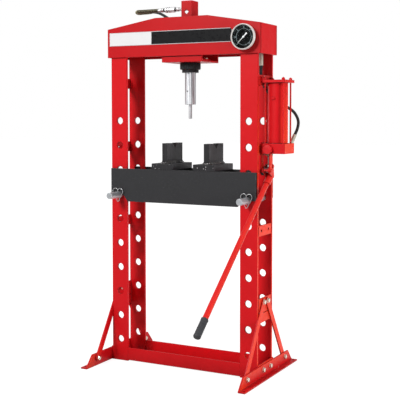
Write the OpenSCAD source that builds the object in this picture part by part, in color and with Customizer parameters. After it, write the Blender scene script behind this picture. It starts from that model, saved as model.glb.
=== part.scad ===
// Floor-standing hydraulic workshop press: a bolted steel H-frame, a hand pump on the
// right upright, a hose over the head, a ram under the head and a bed carried on two pins.
// The origin is on the floor, midway between the uprights and midway through their depth.
// +X is to the right, +Y to the back and +Z up. Millimetres.

/* [Uprights] */
// Width of the frame across the outer edges of the uprights
frame_w = 786; // [770:1:800]
// Depth of the frame over its front and rear upright bars
frame_d = 173.6; // [160:0.2:200]
// Width of each upright bar
bar_w = 87; // [80:1:95]
// Thickness of each upright bar
bar_t = 12; // [10:0.5:13]
// Length of each upright bar that stands inside the head
bar_in_head = 107; // [80:1:120]
// Diameter of the bed-pin holes in the uprights
hole_d = 35; // [33:0.5:38]
// Distance of the bed-pin holes from the upright's outer edge
hole_in = 46.2; // [43:0.2:48]
// Distance between one bed-pin hole and the next
hole_pitch = 120; // [110:1:125]
// Height of the lowest bed-pin hole
hole_first = 106.2; // [95:0.1:120]
// Number of bed-pin holes in each bar
hole_count = 10; // [9:1:10]
// The hole that carries the bed, counted from the floor
bed_hole = 7; // [5:1:8]

/* [Tie plates] */
// Height of each tie plate between the front and rear bars
tie_h = 50; // [40:1:54]
// Height of the lowest tie plate
tie_low_h = 42; // [36:1:50]
// Thickness of the tie plates
tie_t = 6; // [5:0.5:8]
// Slot between the lowest tie plate and the brace plate over it
tie_slot = 3; // [2:0.5:8]
// Height of the centre of the tie plate below the bed
tie_mid_z = 683; // [600:1:740]
// Height of the brace plate that the braces are bolted to
brace_plate_h = 69; // [60:1:75]

/* [Base] */
// Height of the base channel and of its end plates
base_h = 66; // [60:1:70]
// Height of the feet
foot_h = 60; // [54:1:66]
// Gap between the floor and the underside of the base channel
base_lift = 5; // [3:0.5:8]
// Plate thickness of the base channel, the feet and the braces
foot_t = 6; // [5:0.5:8]
// Length of each foot from front to back
foot_l = 610; // [560:2:660]
// Width of each foot's horizontal leg
foot_w = 35; // [32:1:45]
// Length of the slanted cut at the ends of each foot's upright leg
foot_cut = 48; // [30:1:60]
// Distance of each floor-anchor hole from the foot's end
anchor_end = 20; // [16:1:30]
// Diameter of the floor-anchor holes
anchor_d = 14; // [12:0.5:15]
// Distance between each brace's foot bolt and the foot's end
brace_end = 88; // [80:1:110]
// Distance between each brace's top bolt and the middle of the frame
brace_top_y = 22; // [20:1:30]
// Height of the brace's top bolts
brace_top_z = 350; // [342:1:354]
// Height of the foot bolts
foot_bolt_z = 37; // [32:1:40]
// Distance between each inner foot bolt and the middle of the frame
foot_bolt_y = 40; // [30:1:50]
// Width of each brace
brace_w = 32; // [26:1:36]

/* [Fasteners] */
// Thread diameter of the frame bolts
bolt_d = 12; // [10:1:14]
// Width across flats of the frame bolts' heads and nuts
bolt_af = 19; // [17:1:22]
// Height of a frame bolt's head
bolt_head_h = 8; // [6:0.5:10]
// Height of a frame bolt's nut
nut_h = 10; // [8:0.5:11]

/* [Head] */
// Height of the underside of the head above the floor
head_z = 1493; // [1486:1:1500]
// Distance that the head stands out past each upright
head_over = 15.7; // [12:0.1:20]
// Height of the head at its ends
head_end_h = 138; // [130:1:150]
// Height of the head at its middle
head_mid_h = 182.6; // [175:0.2:190]
// Width of the head's level top
head_flat_w = 280; // [220:2:320]
// Thickness of the head plates
head_t = 8; // [6:0.5:10]
// Width of the ram carrier
carrier_w = 214; // [180:1:240]
// Depth that the ram carrier hangs below the head
carrier_drop = 29; // [24:1:36]
// Thickness of the ram carrier's plate
carrier_t = 8; // [6:0.5:10]
// Height that the ram carrier's flanges reach up inside the head
carrier_lap = 42; // [30:1:50]
// Width of the bracket on top of the cylinder
cover_w = 56; // [50:1:64]
// Depth of the bracket on top of the cylinder
cover_d = 66; // [60:1:70]
// Plate thickness of the bracket on top of the cylinder
cover_t = 4; // [3:0.5:5]
// Height of the bracket's top above the head's level top
cover_up = 80.4; // [70:0.2:90]
// Side of the square hole that stands on its corner in the bracket
cover_hole = 16.5; // [12:0.5:18]
// Margin between the plain plate and the left end of the head
panel_margin = 11.4; // [6:0.2:60]
// Height of the plain plate on the front of the head
panel_h = 64; // [50:1:70]
// Thickness of the plain plate
panel_t = 1; // [0.8:0.1:2]

/* [Ram] */
// Outer diameter of the cylinder barrel
barrel_d = 85; // [84:0.5:88]
// Bore of the cylinder barrel
bore_d = 66; // [66:0.5:70]
// Thickness of the closed end of the barrel
barrel_cap = 12; // [10:1:13]
// Diameter of the piston rod and the ram nose
rod_d = 52; // [50:0.5:54]
// Bore of the hollow piston rod
rod_bore = 31; // [30.5:0.5:33]
// Diameter of the lock collar under the carrier
collar_d = 100; // [97:1:108]
// Height of the lock collar
collar_h = 33; // [28:1:38]
// Height of the gland nut below the lock collar
gland_h = 14.5; // [12:0.5:18]
// Depth that the gland nut reaches up inside the barrel
gland_in = 14; // [12:0.5:15]
// Length of piston rod that shows below the gland nut at rest
rod_out = 99.5; // [96:0.5:110]
// Travel of the ram back up from its rest position
ram_up = 90; // [80:1:92]
// Travel of the ram down from its rest position
ram_down = 60; // [50:1:62]
// Height of the piston head
piston_h = 30; // [26:1:32]
// Height of the piston seal in its groove
seal_h = 9; // [6:0.5:12]
// Depth of the piston seal's groove
seal_depth = 4; // [3:0.5:5]
// Length of the ram nose
nose_l = 53; // [45:1:60]
// Diameter of the thin press pin in the ram nose
press_pin_d = 16; // [12:0.5:20]
// Length of press pin that shows below the ram nose
press_pin_out = 67.5; // [50:0.5:75]
// Diameter of the press pin's shank inside the ram nose
press_pin_shank_d = 11; // [8:0.5:11]
// Length of press pin inside the ram nose
press_pin_in = 30; // [20:1:36]
// Wire diameter of the return spring
spring_wire = 3.5; // [3:0.1:4]
// Mean diameter of the return spring
spring_d = 25; // [23:0.5:26]
// Number of turns of the return spring
spring_turns = 22; // [16:1:26]

/* [Bed] */
// Height of the bed plates
bed_h = 160; // [145:1:175]
// Distance of each end of the bed from the upright's outer edge
bed_end_in = 3; // [1:1:9]
// Thickness of the bed plates
bed_t = 11; // [9:0.5:12]
// Height of the bed's top above the centre of its pin holes in the uprights
bed_up = 126.8; // [110:0.2:140]
// Distance of the bed's straight bottom edge from the upright's outer edge
bed_bottom_in = 97; // [90:1:110]
// Distance of the outer end of the slanted corner from the upright's outer edge
bed_corner_in = 73; // [70:1:76]
// Height of the slanted bottom corners of the bed plates
bed_corner_h = 31; // [24:1:36]
// Diameter of the bed pins
pin_d = 31; // [29:0.5:31.5]
// Length of pin that stands out in front of the bed
pin_front = 86; // [75:1:95]
// Length of pin that stands out behind the bed
pin_rear = 16; // [12:1:30]
// Wire diameter of the bed-pin clips
clip_wire = 3; // [2.5:0.5:4]
// Distance between the bed and its clips
clip_gap = 6; // [5:0.5:9]
// Radius of the two loops of each bed-pin clip
clip_loop = 14.5; // [12:0.5:17]
// Distance from the pin's centre to the point under it of each bed-pin clip
clip_point = 34.5; // [30:0.5:40]
// Thickness of the bed spacers
bed_spacer_t = 12; // [10:1:15]
// Height of the bed spacers
bed_spacer_h = 100; // [80:1:110]
// Width of each press block's foot
vblock_w = 112; // [100:1:116]
// Depth of each press block's foot
vblock_d = 200; // [190:1:220]
// Height of each press block's foot
vblock_foot_h = 29; // [26:1:38]
// Thickness of each press block's upright
vblock_t = 28; // [22:1:32]
// Depth of each press block's upright from front to back
vblock_up_d = 150; // [130:1:160]
// Height of each press block's upright
vblock_up_h = 97; // [85:1:104]
// Offset of each press block's upright from the middle of its foot
vblock_offset = 2.5; // [0:0.5:6]
// Width of the V-notch in each press block
vnotch_w = 44; // [30:1:50]
// Depth of the V-notch in each press block
vnotch_h = 24; // [16:1:28]
// Place of the left press block along the bed
vblock_left_x = -102; // [-150:1:-95]
// Place of the right press block along the bed
vblock_right_x = 123; // [95:1:150]

/* [Pump] */
// Height of the underside of the pump block above the floor
pump_z = 1038.4; // [1030:0.2:1050]
// Length of the pump block out from the upright
block_l = 120; // [118:1:126]
// Depth of the pump block from front to back
block_w = 112; // [108:1:118]
// Height of the pump block
block_h = 46.8; // [42:0.2:52]
// Outer diameter of the reservoir tube
tank_d = 93; // [90:1:95]
// Wall thickness of the reservoir tube
tank_t = 3; // [2:0.5:4]
// Length of the reservoir tube
tank_l = 276; // [272:1:282]
// Distance between the reservoir's axis and the upright
tank_x = 62; // [61:0.5:64]
// Thickness of the reservoir's top plate
lid_t = 13; // [10:1:15]
// Distance between the tie rods along the block
tie_rod_x = 89; // [86:1:92]
// Distance between the tie rods from front to back
tie_rod_y = 86; // [84:1:87]
// Diameter of the tie rods
tie_rod_d = 8; // [6:0.5:8.5]
// Depth that the tie rods are screwed into the pump block
tie_rod_in = 20; // [14:1:21]
// Distance between the lever's plane and the upright
lever_x = 25; // [24.5:0.5:26]
// Distance between the fulcrum pin and the pump block's underside
fulcrum_drop = 76.4; // [74:0.2:78]
// Distance of the fulcrum pin in front of the frame's middle
fulcrum_y = 46; // [45:1:47]
// Distance from the fulcrum pin back to the plunger
arm_l = 36; // [34:0.5:38]
// Angle that the pump handle swings through
handle_swing = 50; // [40:1:50]
// Diameter of the pump plunger
plunger_d = 16; // [14:0.5:18]
// Diameter of the fulcrum pin and the plunger pin
link_pin_d = 10; // [9:0.5:11]
// Outer diameter of the handle's socket
socket_d = 34; // [31:0.5:35]
// Length of the handle's socket
socket_l = 65; // [60:1:72]
// Diameter of the handle tube
handle_d = 25; // [24:0.5:26]
// Wall thickness of the handle tube
handle_t = 2.5; // [2:0.5:3]
// Distance from the socket's upper end to the grip's lower end
handle_l = 942; // [900:1:960]
// Angle of the handle below level at rest
handle_angle = 39.5; // [38:0.5:41]
// Length of the handle grip
grip_l = 93; // [84:1:130]
// Outer diameter of the handle grip
grip_d = 32; // [29:0.5:36]
// Diameter of the release valve's knob
knob_d = 43; // [36:1:44]
// Thickness of the release valve's knob
knob_t = 16; // [12:1:20]

/* [Gauge] */
// Distance of the gauge's axis from the right end of the head
gauge_in = 74; // [70:0.5:80]
// Height of the gauge's axis above the underside of the head
gauge_up = 74; // [70:1:78]
// Outer diameter of the gauge's bezel
bezel_d = 118; // [116:0.5:121]
// Outer diameter of the gauge's case
case_d = 112; // [110:0.5:114]
// Length of the gauge's bezel from front to back
bezel_l = 16; // [14:0.5:20]
// Distance that the gauge stands out from the head
gauge_out = 35; // [32:0.5:40]
// Length of the gauge's needle from its spindle to its tip
needle_l = 38; // [30:0.5:42]
// Angle that the gauge's needle turns through
needle_sweep = 270; // [240:5:270]

/* [Hose] */
// Outer diameter of the hose
hose_d = 14; // [12:0.5:14.4]
// Outer diameter of the spring guard round the hose
guard_d = 18.6; // [17.6:0.2:20]
// Inner diameter of the spring guard round the hose
guard_bore = 15.4; // [15:0.1:16]
// Outer diameter of the quick coupler
coupler_d = 27; // [24:0.5:30]

/* [Hidden] */
$fn = 64;
// Running clearance of a shaft in its bore, on the radius
run_clear = 0.06;
// Clearance between curved faces of pieces that touch loosely
touch = 0.3;
// Clearance of a bolt in its hole, on the radius
bolt_clear = 0.5;
// Clearance between the bed plates and the upright bars
bed_clear = 1;
// Clearance of the open lever pivot, on the radius
open_pivot_clear = 0.6;

// Shared places
side_x = frame_w / 2;
front_y = frame_d / 2;
inner_y = front_y - bar_t;
hole_x = side_x - hole_in;
head_w = frame_w + 2 * head_over;
bar_h = head_z + bar_in_head;
head_y = front_y + head_t;
head_top = head_z + head_mid_h;
carrier_z = head_z - carrier_drop;
collar_z = carrier_z - collar_h;
gland_z = collar_z - gland_h;
joint_z = gland_z - rod_out;
// Room left between the piston and the ends of the chamber at the limits of the stroke
stroke_spare = 3;
piston_z = collar_z + gland_in + ram_down + stroke_spare;
piston_top = piston_z + piston_h;
chamber_z = piston_top + ram_up + stroke_spare + 1;
barrel_z = chamber_z + barrel_cap;
// Height of the solid end of the rod under the return spring
rod_floor = 28;
spring_foot_z = joint_z + rod_floor;
spring_seat_h = 6;
spring_seat_d = spring_d - spring_wire - 1;
bed_pin_z = hole_first + hole_pitch * (bed_hole - 1);
pin_z = bed_pin_z - (hole_d - pin_d) / 2 + touch;
bed_top = bed_pin_z + bed_up;
bed_y = front_y + bed_clear;
saddle_r = pin_d / 2 + 1;
block_top = pump_z + block_h;
lid_z = block_top + tank_l;
tank_cx = side_x + tank_x;
lever_cx = side_x + lever_x;
fulcrum_z = pump_z - fulcrum_drop;
half_swing = handle_swing / 2;
plunger_y = arm_l - fulcrum_y;
plunger_pin_rise = arm_l * tan(half_swing);
plunger_pin_z = fulcrum_z + plunger_pin_rise;
gauge_x = head_w / 2 - gauge_in;
gauge_z = head_z + gauge_up;
brace_foot_y = foot_l / 2 - brace_end;
anchor_y = foot_l / 2 - anchor_end;
// How far each of these tie plates is set up or down from the middle of what is fastened to it
pump_tie_set = -6;
lid_tie_set = 4;
brace_tie_set = -15.5;
tie_pump_z = pump_z + block_h / 2 + pump_tie_set;
tie_top_z = lid_z + lid_t / 2 + lid_tie_set;
brace_plate_z = brace_top_z + brace_tie_set;
tie_low_z = brace_plate_z - (brace_plate_h + tie_low_h) / 2 - tie_slot;

// A hexagonal prism that stands on z = 0, with its width across flats
module hex(af, h) cylinder(d = af / cos(30), h = h, $fn = 6);

// The same shape on each side of the frame
module both_sides() for (side = [0, 1]) mirror([side, 0, 0]) children();

// A round bar along Y from y0 to y1
module bar_y(d, y0, y1) translate([0, y0, 0]) rotate([-90, 0, 0]) cylinder(d = d, h = y1 - y0);

// A round bar along X from x0 to x1
module bar_x(d, x0, x1) translate([x0, 0, 0]) rotate([0, 90, 0]) cylinder(d = d, h = x1 - x0);

// ---- Uprights and tie plates ----

module upright_bar(side, back) {
    y0 = back ? inner_y : -front_y;
    color([0.72, 0.05, 0.07]) difference() {
        translate([side * (side_x - bar_w / 2) - bar_w / 2, y0, 0]) cube([bar_w, bar_t, bar_h]);
        for (k = [0 : hole_count - 1])
            translate([side * hole_x, 0, hole_first + k * hole_pitch]) bar_y(hole_d, y0 - 1, y0 + bar_t + 1);
        // The gauge's stem passes through the front right bar
        if (side > 0 && !back)
            translate([gauge_x, 0, gauge_z]) bar_y(stem_d + 2 * bolt_clear, y0 - 1, y0 + bar_t + 1);
    }
}

module tie_plate(z, h) {
    translate([side_x - tie_t, -inner_y, z - h / 2]) cube([tie_t, 2 * inner_y, h]);
}

module side_bolt_holes(z, y) {
    for (s = [-1, 1]) translate([0, s * y, z]) bar_x(bolt_d + 2 * bolt_clear, side_x - 40, side_x + 40);
}

// Distance of the free holes in the tie plate below the bed from the frame's middle
tie_hole_y = 40;

module tie_plates() {
    color([0.55, 0.04, 0.06]) both_sides() {
        tie_plate(tie_low_z, tie_low_h);
        difference() {
            tie_plate(tie_mid_z, tie_h);
            side_bolt_holes(tie_mid_z, tie_hole_y);
        }
        difference() {
            tie_plate(tie_pump_z, tie_h);
            side_bolt_holes(pump_bolt_z, pump_bolt_y);
        }
        tie_plate(tie_top_z, tie_h);
        difference() {
            tie_plate(brace_plate_z, brace_plate_h);
            side_bolt_holes(brace_top_z, brace_top_y);
        }
    }
}

// ---- Base ----

module base_channel() {
    inner_x = side_x - bar_w;
    color([0.78, 0.06, 0.08]) {
        difference() {
            translate([-inner_x, -front_y, base_lift]) cube([2 * inner_x, frame_d, base_h - base_lift]);
            translate([-inner_x - 1, -front_y + foot_t, base_lift + foot_t])
                cube([2 * inner_x + 2, frame_d - 2 * foot_t, base_h]);
        }
        both_sides() difference() {
            translate([side_x, -front_y, 0]) cube([foot_t, frame_d, base_h]);
            side_bolt_holes(foot_bolt_z, foot_bolt_y);
        }
    }
}

module foot() {
    x0 = side_x + foot_t;
    color([0.85, 0.12, 0.08]) difference() {
        union() {
            translate([x0 + foot_t, 0, 0]) rotate([90, 0, -90])
                linear_extrude(foot_t) polygon([
                    [-foot_l / 2, 0], [foot_l / 2, 0], [foot_l / 2, foot_t],
                    [foot_l / 2 - foot_cut, foot_h], [-foot_l / 2 + foot_cut, foot_h],
                    [-foot_l / 2, foot_t]]);
            translate([x0, -foot_l / 2, 0]) cube([foot_w, foot_l, foot_t]);
        }
        side_bolt_holes(foot_bolt_z, foot_bolt_y);
        side_bolt_holes(foot_bolt_z, brace_foot_y);
        for (s = [-1, 1]) translate([anchor_x, s * anchor_y, -1]) cylinder(d = anchor_d, h = foot_t + 2);
    }
}
// Distance of the anchor holes from the edge of the foot's level leg
anchor_edge = 14;
anchor_x = side_x + foot_t + foot_w - anchor_edge;

module foot_left() mirror([1, 0, 0]) foot();
module foot_right() foot();

// One brace from its foot bolt up to its top bolt
module brace(front) {
    rise = brace_top_z - foot_bolt_z;
    run = brace_foot_y - brace_top_y;
    length = sqrt(rise * rise + run * run);
    lean = atan(run / rise);
    translate([side_x, front * brace_foot_y, foot_bolt_z]) rotate([front * lean, 0, 0]) difference() {
        union() {
            translate([0, -brace_w / 2, 0]) cube([foot_t, brace_w, length]);
            for (z = [0, length]) translate([0, 0, z]) bar_x(brace_w, 0, foot_t);
        }
        for (z = [0, length]) translate([0, 0, z]) bar_x(bolt_d + 2 * bolt_clear, -1, foot_t + 1);
    }
}

module braces() {
    color([0.88, 0.2, 0.12]) {
        brace(-1);
        brace(1);
    }
}
module braces_left() mirror([1, 0, 0]) braces();
module braces_right() braces();

// ---- Fasteners of the frame ----

// A hexagon bolt along X with its head outside, through the stack from x0 to x1, and its nut
module through_bolt(x0, x1) {
    thread_out = 3;
    rotate([0, 90, 0]) {
        translate([0, 0, x0 - nut_h - thread_out]) cylinder(d = bolt_d, h = x1 - x0 + nut_h + thread_out);
        translate([0, 0, x1]) hex(bolt_af, bolt_head_h);
    }
    rotate([0, 90, 0]) translate([0, 0, x0 - nut_h]) difference() {
        hex(bolt_af, nut_h);
        translate([0, 0, -1]) cylinder(d = bolt_d + 0.02, h = nut_h + 2);
    }
}
pump_bolt_y = 30;
pump_bolt_z = tie_pump_z;
pump_bolt_depth = 22;

module frame_fasteners() {
    color([0.75, 0.72, 0.62]) {
        both_sides() for (s = [-1, 1]) {
            translate([0, s * foot_bolt_y, foot_bolt_z]) through_bolt(side_x, side_x + 2 * foot_t);
            translate([0, s * brace_foot_y, foot_bolt_z]) through_bolt(side_x, side_x + 2 * foot_t);
            translate([0, s * brace_top_y, brace_top_z]) through_bolt(side_x - tie_t, side_x + foot_t);
        }
        for (s = [-1, 1]) translate([0, s * pump_bolt_y, pump_bolt_z]) rotate([0, 90, 0]) {
            translate([0, 0, side_x - tie_t]) cylinder(d = bolt_d, h = tie_t + pump_bolt_depth);
            translate([0, 0, side_x - tie_t - bolt_head_h]) hex(bolt_af, bolt_head_h);
        }
        for (x = [-1, 1], y = [-1, 1])
            translate([x * flange_bolt_x, y * flange_bolt_y, carrier_z + carrier_t]) {
                translate([0, 0, -carrier_t]) cylinder(d = bolt_d, h = carrier_t + flange_t);
                translate([0, 0, flange_t]) hex(bolt_af, bolt_head_h);
            }
    }
}

// ---- Head ----

module head_outline() {
    polygon([
        [-head_w / 2, head_z], [head_w / 2, head_z], [head_w / 2, head_z + head_end_h],
        [head_flat_w / 2, head_top], [-head_flat_w / 2, head_top], [-head_w / 2, head_z + head_end_h]]);
}

module head_plate(y0) translate([0, y0 + head_t, 0]) rotate([90, 0, 0]) linear_extrude(head_t) head_outline();

module head_front_plate() {
    color([0.82, 0.06, 0.08]) difference() {
        head_plate(-head_y);
        translate([gauge_x, 0, gauge_z]) bar_y(stem_d + 2 * bolt_clear, -head_y - 1, -front_y + 1);
    }
}

module head_rear_plate() color([0.7, 0.05, 0.07]) head_plate(front_y);

module head_end_plates() {
    color([0.85, 0.1, 0.08]) both_sides()
        translate([head_w / 2 - head_t, -front_y, head_z]) cube([head_t, frame_d, head_end_h]);
}

flange_w = 150;
flange_depth = 130;
flange_t = 10;
flange_bolt_x = 60;
flange_bolt_y = 50;

module ram_carrier() {
    color([0.8, 0.07, 0.08]) difference() {
        translate([-carrier_w / 2, -front_y, carrier_z])
            cube([carrier_w, frame_d, carrier_drop + carrier_lap]);
        translate([-carrier_w / 2 - 1, -front_y + carrier_t, carrier_z + carrier_t])
            cube([carrier_w + 2, frame_d - 2 * carrier_t, carrier_drop + carrier_lap]);
        translate([0, 0, carrier_z - 1]) cylinder(d = barrel_d + 2 * run_clear, h = carrier_t + 2);
        for (x = [-1, 1], y = [-1, 1]) translate([x * flange_bolt_x, y * flange_bolt_y, carrier_z - 1])
            cylinder(d = bolt_d + 0.02, h = carrier_t + 2);
    }
}

// A folded bracket, open to the left, that stands on the cylinder and covers its inlet
// Distance of the bracket's front from the ram's axis
cover_front = 38;

module top_bracket() {
    top = head_top + cover_up;
    rear_lip = 20;
    hole_up = 28;
    h = top - barrel_z;
    color([0.85, 0.07, 0.08]) difference() {
        union() {
            translate([-cover_w / 2, -cover_front, barrel_z]) cube([cover_w, cover_t, h]);
            translate([cover_w / 2 - cover_t, -cover_front, barrel_z]) cube([cover_t, cover_d, h]);
            translate([cover_w / 2 - rear_lip, cover_d - cover_front - cover_t, barrel_z])
                cube([rear_lip, cover_t, h]);
            translate([-cover_w / 2, -cover_front, top - cover_t]) cube([cover_w, cover_d, cover_t]);
        }
        translate([0, 0, head_top + hole_up]) rotate([0, 45, 0])
            translate([-cover_hole / 2, -cover_front - 1, -cover_hole / 2])
                cube([cover_hole, cover_t + 2, cover_hole]);
    }
}

// The plain plate on the front of the head, with its right end trimmed beside the gauge
module head_panel() {
    gap = 7;
    up = 14;
    x1 = gauge_x - bezel_d / 2 - gap;
    x0 = -head_w / 2 + panel_margin;
    z0 = gauge_z + up - panel_h / 2;
    trim = 10;
    color([0.9, 0.9, 0.9]) translate([0, -head_y, 0]) rotate([90, 0, 0]) linear_extrude(panel_t) polygon([
        [x0, z0], [x1 - trim, z0], [x1, z0 + trim], [x1, z0 + panel_h - trim], [x1 - trim, z0 + panel_h],
        [x0, z0 + panel_h]]);
}

// ---- Ram ----

module cylinder_barrel() {
    color([0.25, 0.25, 0.26]) difference() {
        union() {
            translate([0, 0, collar_z]) cylinder(d = barrel_d, h = barrel_z - collar_z);
            translate([-flange_w / 2, -flange_depth / 2, carrier_z + carrier_t])
                cube([flange_w, flange_depth, flange_t]);
        }
        difference() {
            translate([0, 0, collar_z - 1]) cylinder(d = bore_d, h = chamber_z - collar_z + 1);
            translate([0, 0, chamber_z - spring_seat_h]) cylinder(d = spring_seat_d, h = spring_seat_h + 1);
        }
        translate([0, 0, chamber_z - spring_seat_h - 1])
            cylinder(d = port_bore, h = barrel_cap + spring_seat_h + 2);
        for (x = [-1, 1], y = [-1, 1]) translate([x * flange_bolt_x, y * flange_bolt_y, carrier_z])
            cylinder(d = bolt_d + 0.02, h = carrier_t + flange_t + 1);
    }
}

module lock_collar() {
    notch = 8;
    color([0.08, 0.08, 0.09]) translate([0, 0, collar_z]) difference() {
        cylinder(d = collar_d, h = collar_h);
        translate([0, 0, -1]) cylinder(d = barrel_d + 2 * run_clear, h = collar_h + 2);
        for (k = [0 : 3]) rotate(45 + 90 * k)
            translate([(collar_d - notch) / 2, -notch / 2, (collar_h - notch) / 2]) cube(notch);
    }
}

module gland_nut() {
    gland_d = barrel_d - 5;
    color([0.1, 0.1, 0.11]) difference() {
        union() {
            translate([0, 0, gland_z]) cylinder(d = gland_d, h = gland_h);
            translate([0, 0, collar_z - 1]) cylinder(d = bore_d - 0.1, h = gland_in + 1);
        }
        translate([0, 0, gland_z - 1]) cylinder(d = rod_d + 2 * run_clear, h = gland_h + gland_in + 2);
    }
}

module piston_rod() {
    color([0.85, 0.86, 0.88]) difference() {
        translate([0, 0, joint_z]) cylinder(d = rod_d, h = piston_top - joint_z);
        difference() {
            translate([0, 0, spring_foot_z]) cylinder(d = rod_bore, h = piston_top - spring_foot_z + 1);
            translate([0, 0, spring_foot_z - 1]) cylinder(d = spring_seat_d, h = spring_seat_h + 1);
        }
        translate([0, 0, joint_z - 1]) cylinder(d = nose_spigot_d + 0.1, h = nose_spigot_h + 2);
        // The hole of the set screw that holds the nose's spigot, at the front
        rotate(-97) translate([0, 0, joint_z + set_screw_up]) bar_x(set_screw_d, 0, rod_d / 2 + 5);
    }
}
nose_spigot_d = 28;
nose_spigot_h = 18;
set_screw_d = 8;
set_screw_up = 11;

module piston_head() {
    color([0.5, 0.5, 0.52]) difference() {
        translate([0, 0, piston_z]) cylinder(d = bore_d - 2 * run_clear, h = piston_h);
        translate([0, 0, piston_z - 1]) cylinder(d = rod_d + 0.1, h = piston_h + 2);
        translate([0, 0, piston_z + piston_h / 2 - seal_h / 2]) difference() {
            cylinder(d = bore_d + 1, h = seal_h);
            translate([0, 0, -1]) cylinder(d = bore_d - 2 * seal_depth, h = seal_h + 2);
        }
    }
}

module piston_seal() {
    color([0.1, 0.1, 0.1]) translate([0, 0, piston_z + piston_h / 2 - seal_h / 2 + 0.1]) difference() {
        cylinder(d = bore_d - 2 * run_clear, h = seal_h - 0.2);
        translate([0, 0, -1]) cylinder(d = bore_d - 2 * seal_depth + 0.1, h = seal_h + 2);
    }
}

module ram_nose() {
    chamfer = 1.5;
    color([0.85, 0.86, 0.88]) difference() {
        union() {
            translate([0, 0, joint_z - nose_l + chamfer]) cylinder(d = rod_d, h = nose_l - chamfer);
            translate([0, 0, joint_z - nose_l]) cylinder(d1 = rod_d - 2 * chamfer, d2 = rod_d, h = chamfer);
            translate([0, 0, joint_z - 1]) cylinder(d = nose_spigot_d, h = nose_spigot_h + 1);
        }
        translate([0, 0, joint_z - nose_l - 1]) cylinder(d = press_pin_shank_d + 0.1, h = press_pin_in + 1);
    }
}

module press_pin() {
    chamfer = 1.5;
    z1 = joint_z - nose_l;
    z0 = z1 - press_pin_out;
    color([0.8, 0.8, 0.82]) {
        translate([0, 0, z0 + chamfer]) cylinder(d = press_pin_d, h = press_pin_out - chamfer);
        translate([0, 0, z1 - 1]) cylinder(d = press_pin_shank_d, h = press_pin_in + 1);
        translate([0, 0, z0]) cylinder(d1 = press_pin_d - 2 * chamfer, d2 = press_pin_d, h = chamfer);
    }
}

// A tube of round section swept along a list of points, closed at both ends
function unit(v) = v / norm(v);
function tangent(p, i) = unit(p[min(i + 1, len(p) - 1)] - p[max(i - 1, 0)]);
// Frames are carried from ring to ring, so the tube doesn't twist
function next_normal(n, t) = unit(n - (n * t) * t);
function frames(p, i, n) = i == len(p) ? []
    : let (m = next_normal(n, tangent(p, i))) concat([m], frames(p, i + 1, m));
function first_normal(t) = unit(abs(t[2]) < 0.8 ? cross(t, [0, 0, 1]) : cross(t, [1, 0, 0]));
function ring(c, t, n, r, sides) = [for (k = [0 : sides - 1])
    let (a = 360 * k / sides) c + r * (cos(a) * n + sin(a) * cross(t, n))];

module sweep(p, r, sides) {
    n = frames(p, 0, first_normal(tangent(p, 0)));
    last = (len(p) - 1) * sides;
    polyhedron(
        points = [for (i = [0 : len(p) - 1]) each ring(p[i], tangent(p, i), n[i], r, sides)],
        faces = concat(
            [[for (k = [0 : sides - 1]) k]],
            [for (i = [0 : len(p) - 2], k = [0 : sides - 1]) let (a = i * sides, b = (k + 1) % sides)
                each [[a + b, a + k, a + k + sides], [a + b, a + k + sides, a + b + sides]]],
            [[for (k = [sides - 1 : -1 : 0]) last + k]]));
}

// The same sweep with a round hole along it
module sleeve(p, r_out, r_in, sides) {
    n = frames(p, 0, first_normal(tangent(p, 0)));
    count = len(p);
    inner = count * sides;
    last = (count - 1) * sides;
    polyhedron(
        points = concat(
            [for (i = [0 : count - 1]) each ring(p[i], tangent(p, i), n[i], r_out, sides)],
            [for (i = [0 : count - 1]) each ring(p[i], tangent(p, i), n[i], r_in, sides)]),
        faces = concat(
            [for (i = [0 : count - 2], k = [0 : sides - 1]) let (a = i * sides, b = (k + 1) % sides)
                each [[a + b, a + k, a + k + sides], [a + b, a + k + sides, a + b + sides]]],
            [for (i = [0 : count - 2], k = [0 : sides - 1]) let (a = inner + i * sides, b = (k + 1) % sides)
                each [[a + k, a + b, a + b + sides], [a + k, a + b + sides, a + k + sides]]],
            [for (k = [0 : sides - 1]) let (b = (k + 1) % sides) [k, b, inner + b, inner + k]],
            [for (k = [0 : sides - 1]) let (b = (k + 1) % sides)
                [last + b, last + k, inner + last + k, inner + last + b]]));
}

module return_spring() {
    steps = 10;
    z0 = spring_foot_z + spring_wire / 2;
    z1 = chamber_z - spring_wire / 2;
    count = spring_turns * steps;
    color([0.45, 0.45, 0.47]) sweep([for (i = [0 : count]) let (a = 360 * i / steps)
        [spring_d / 2 * cos(a), spring_d / 2 * sin(a), z0 + (z1 - z0) * i / count]], spring_wire / 2, 5);
}

// Height of the hose's coupling above the head's level top
inlet_up = 46.4;
inlet_z = head_top + inlet_up;
inlet_d = 16;
inlet_reach = 45;
port_bore = 8;
module inlet_elbow() {
    color([0.75, 0.75, 0.76]) difference() {
        union() {
            translate([0, 0, barrel_z]) hex(22, 12);
            translate([0, 0, barrel_z]) cylinder(d = inlet_d, h = inlet_z - barrel_z);
            translate([0, 0, inlet_z]) sphere(d = inlet_d);
            translate([0, 0, inlet_z]) bar_x(inlet_d, -inlet_reach, 0);
        }
        translate([0, 0, barrel_z - 1]) cylinder(d = port_bore, h = inlet_z - barrel_z + 1);
        translate([0, 0, inlet_z]) bar_x(port_bore, -inlet_reach - 1, 0);
    }
}

// ---- Pump ----

module tie_rod_places() for (x = [-1, 1], y = [-1, 1])
    translate([tank_cx + x * tie_rod_x / 2, y * tie_rod_y / 2, 0]) children();

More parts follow.
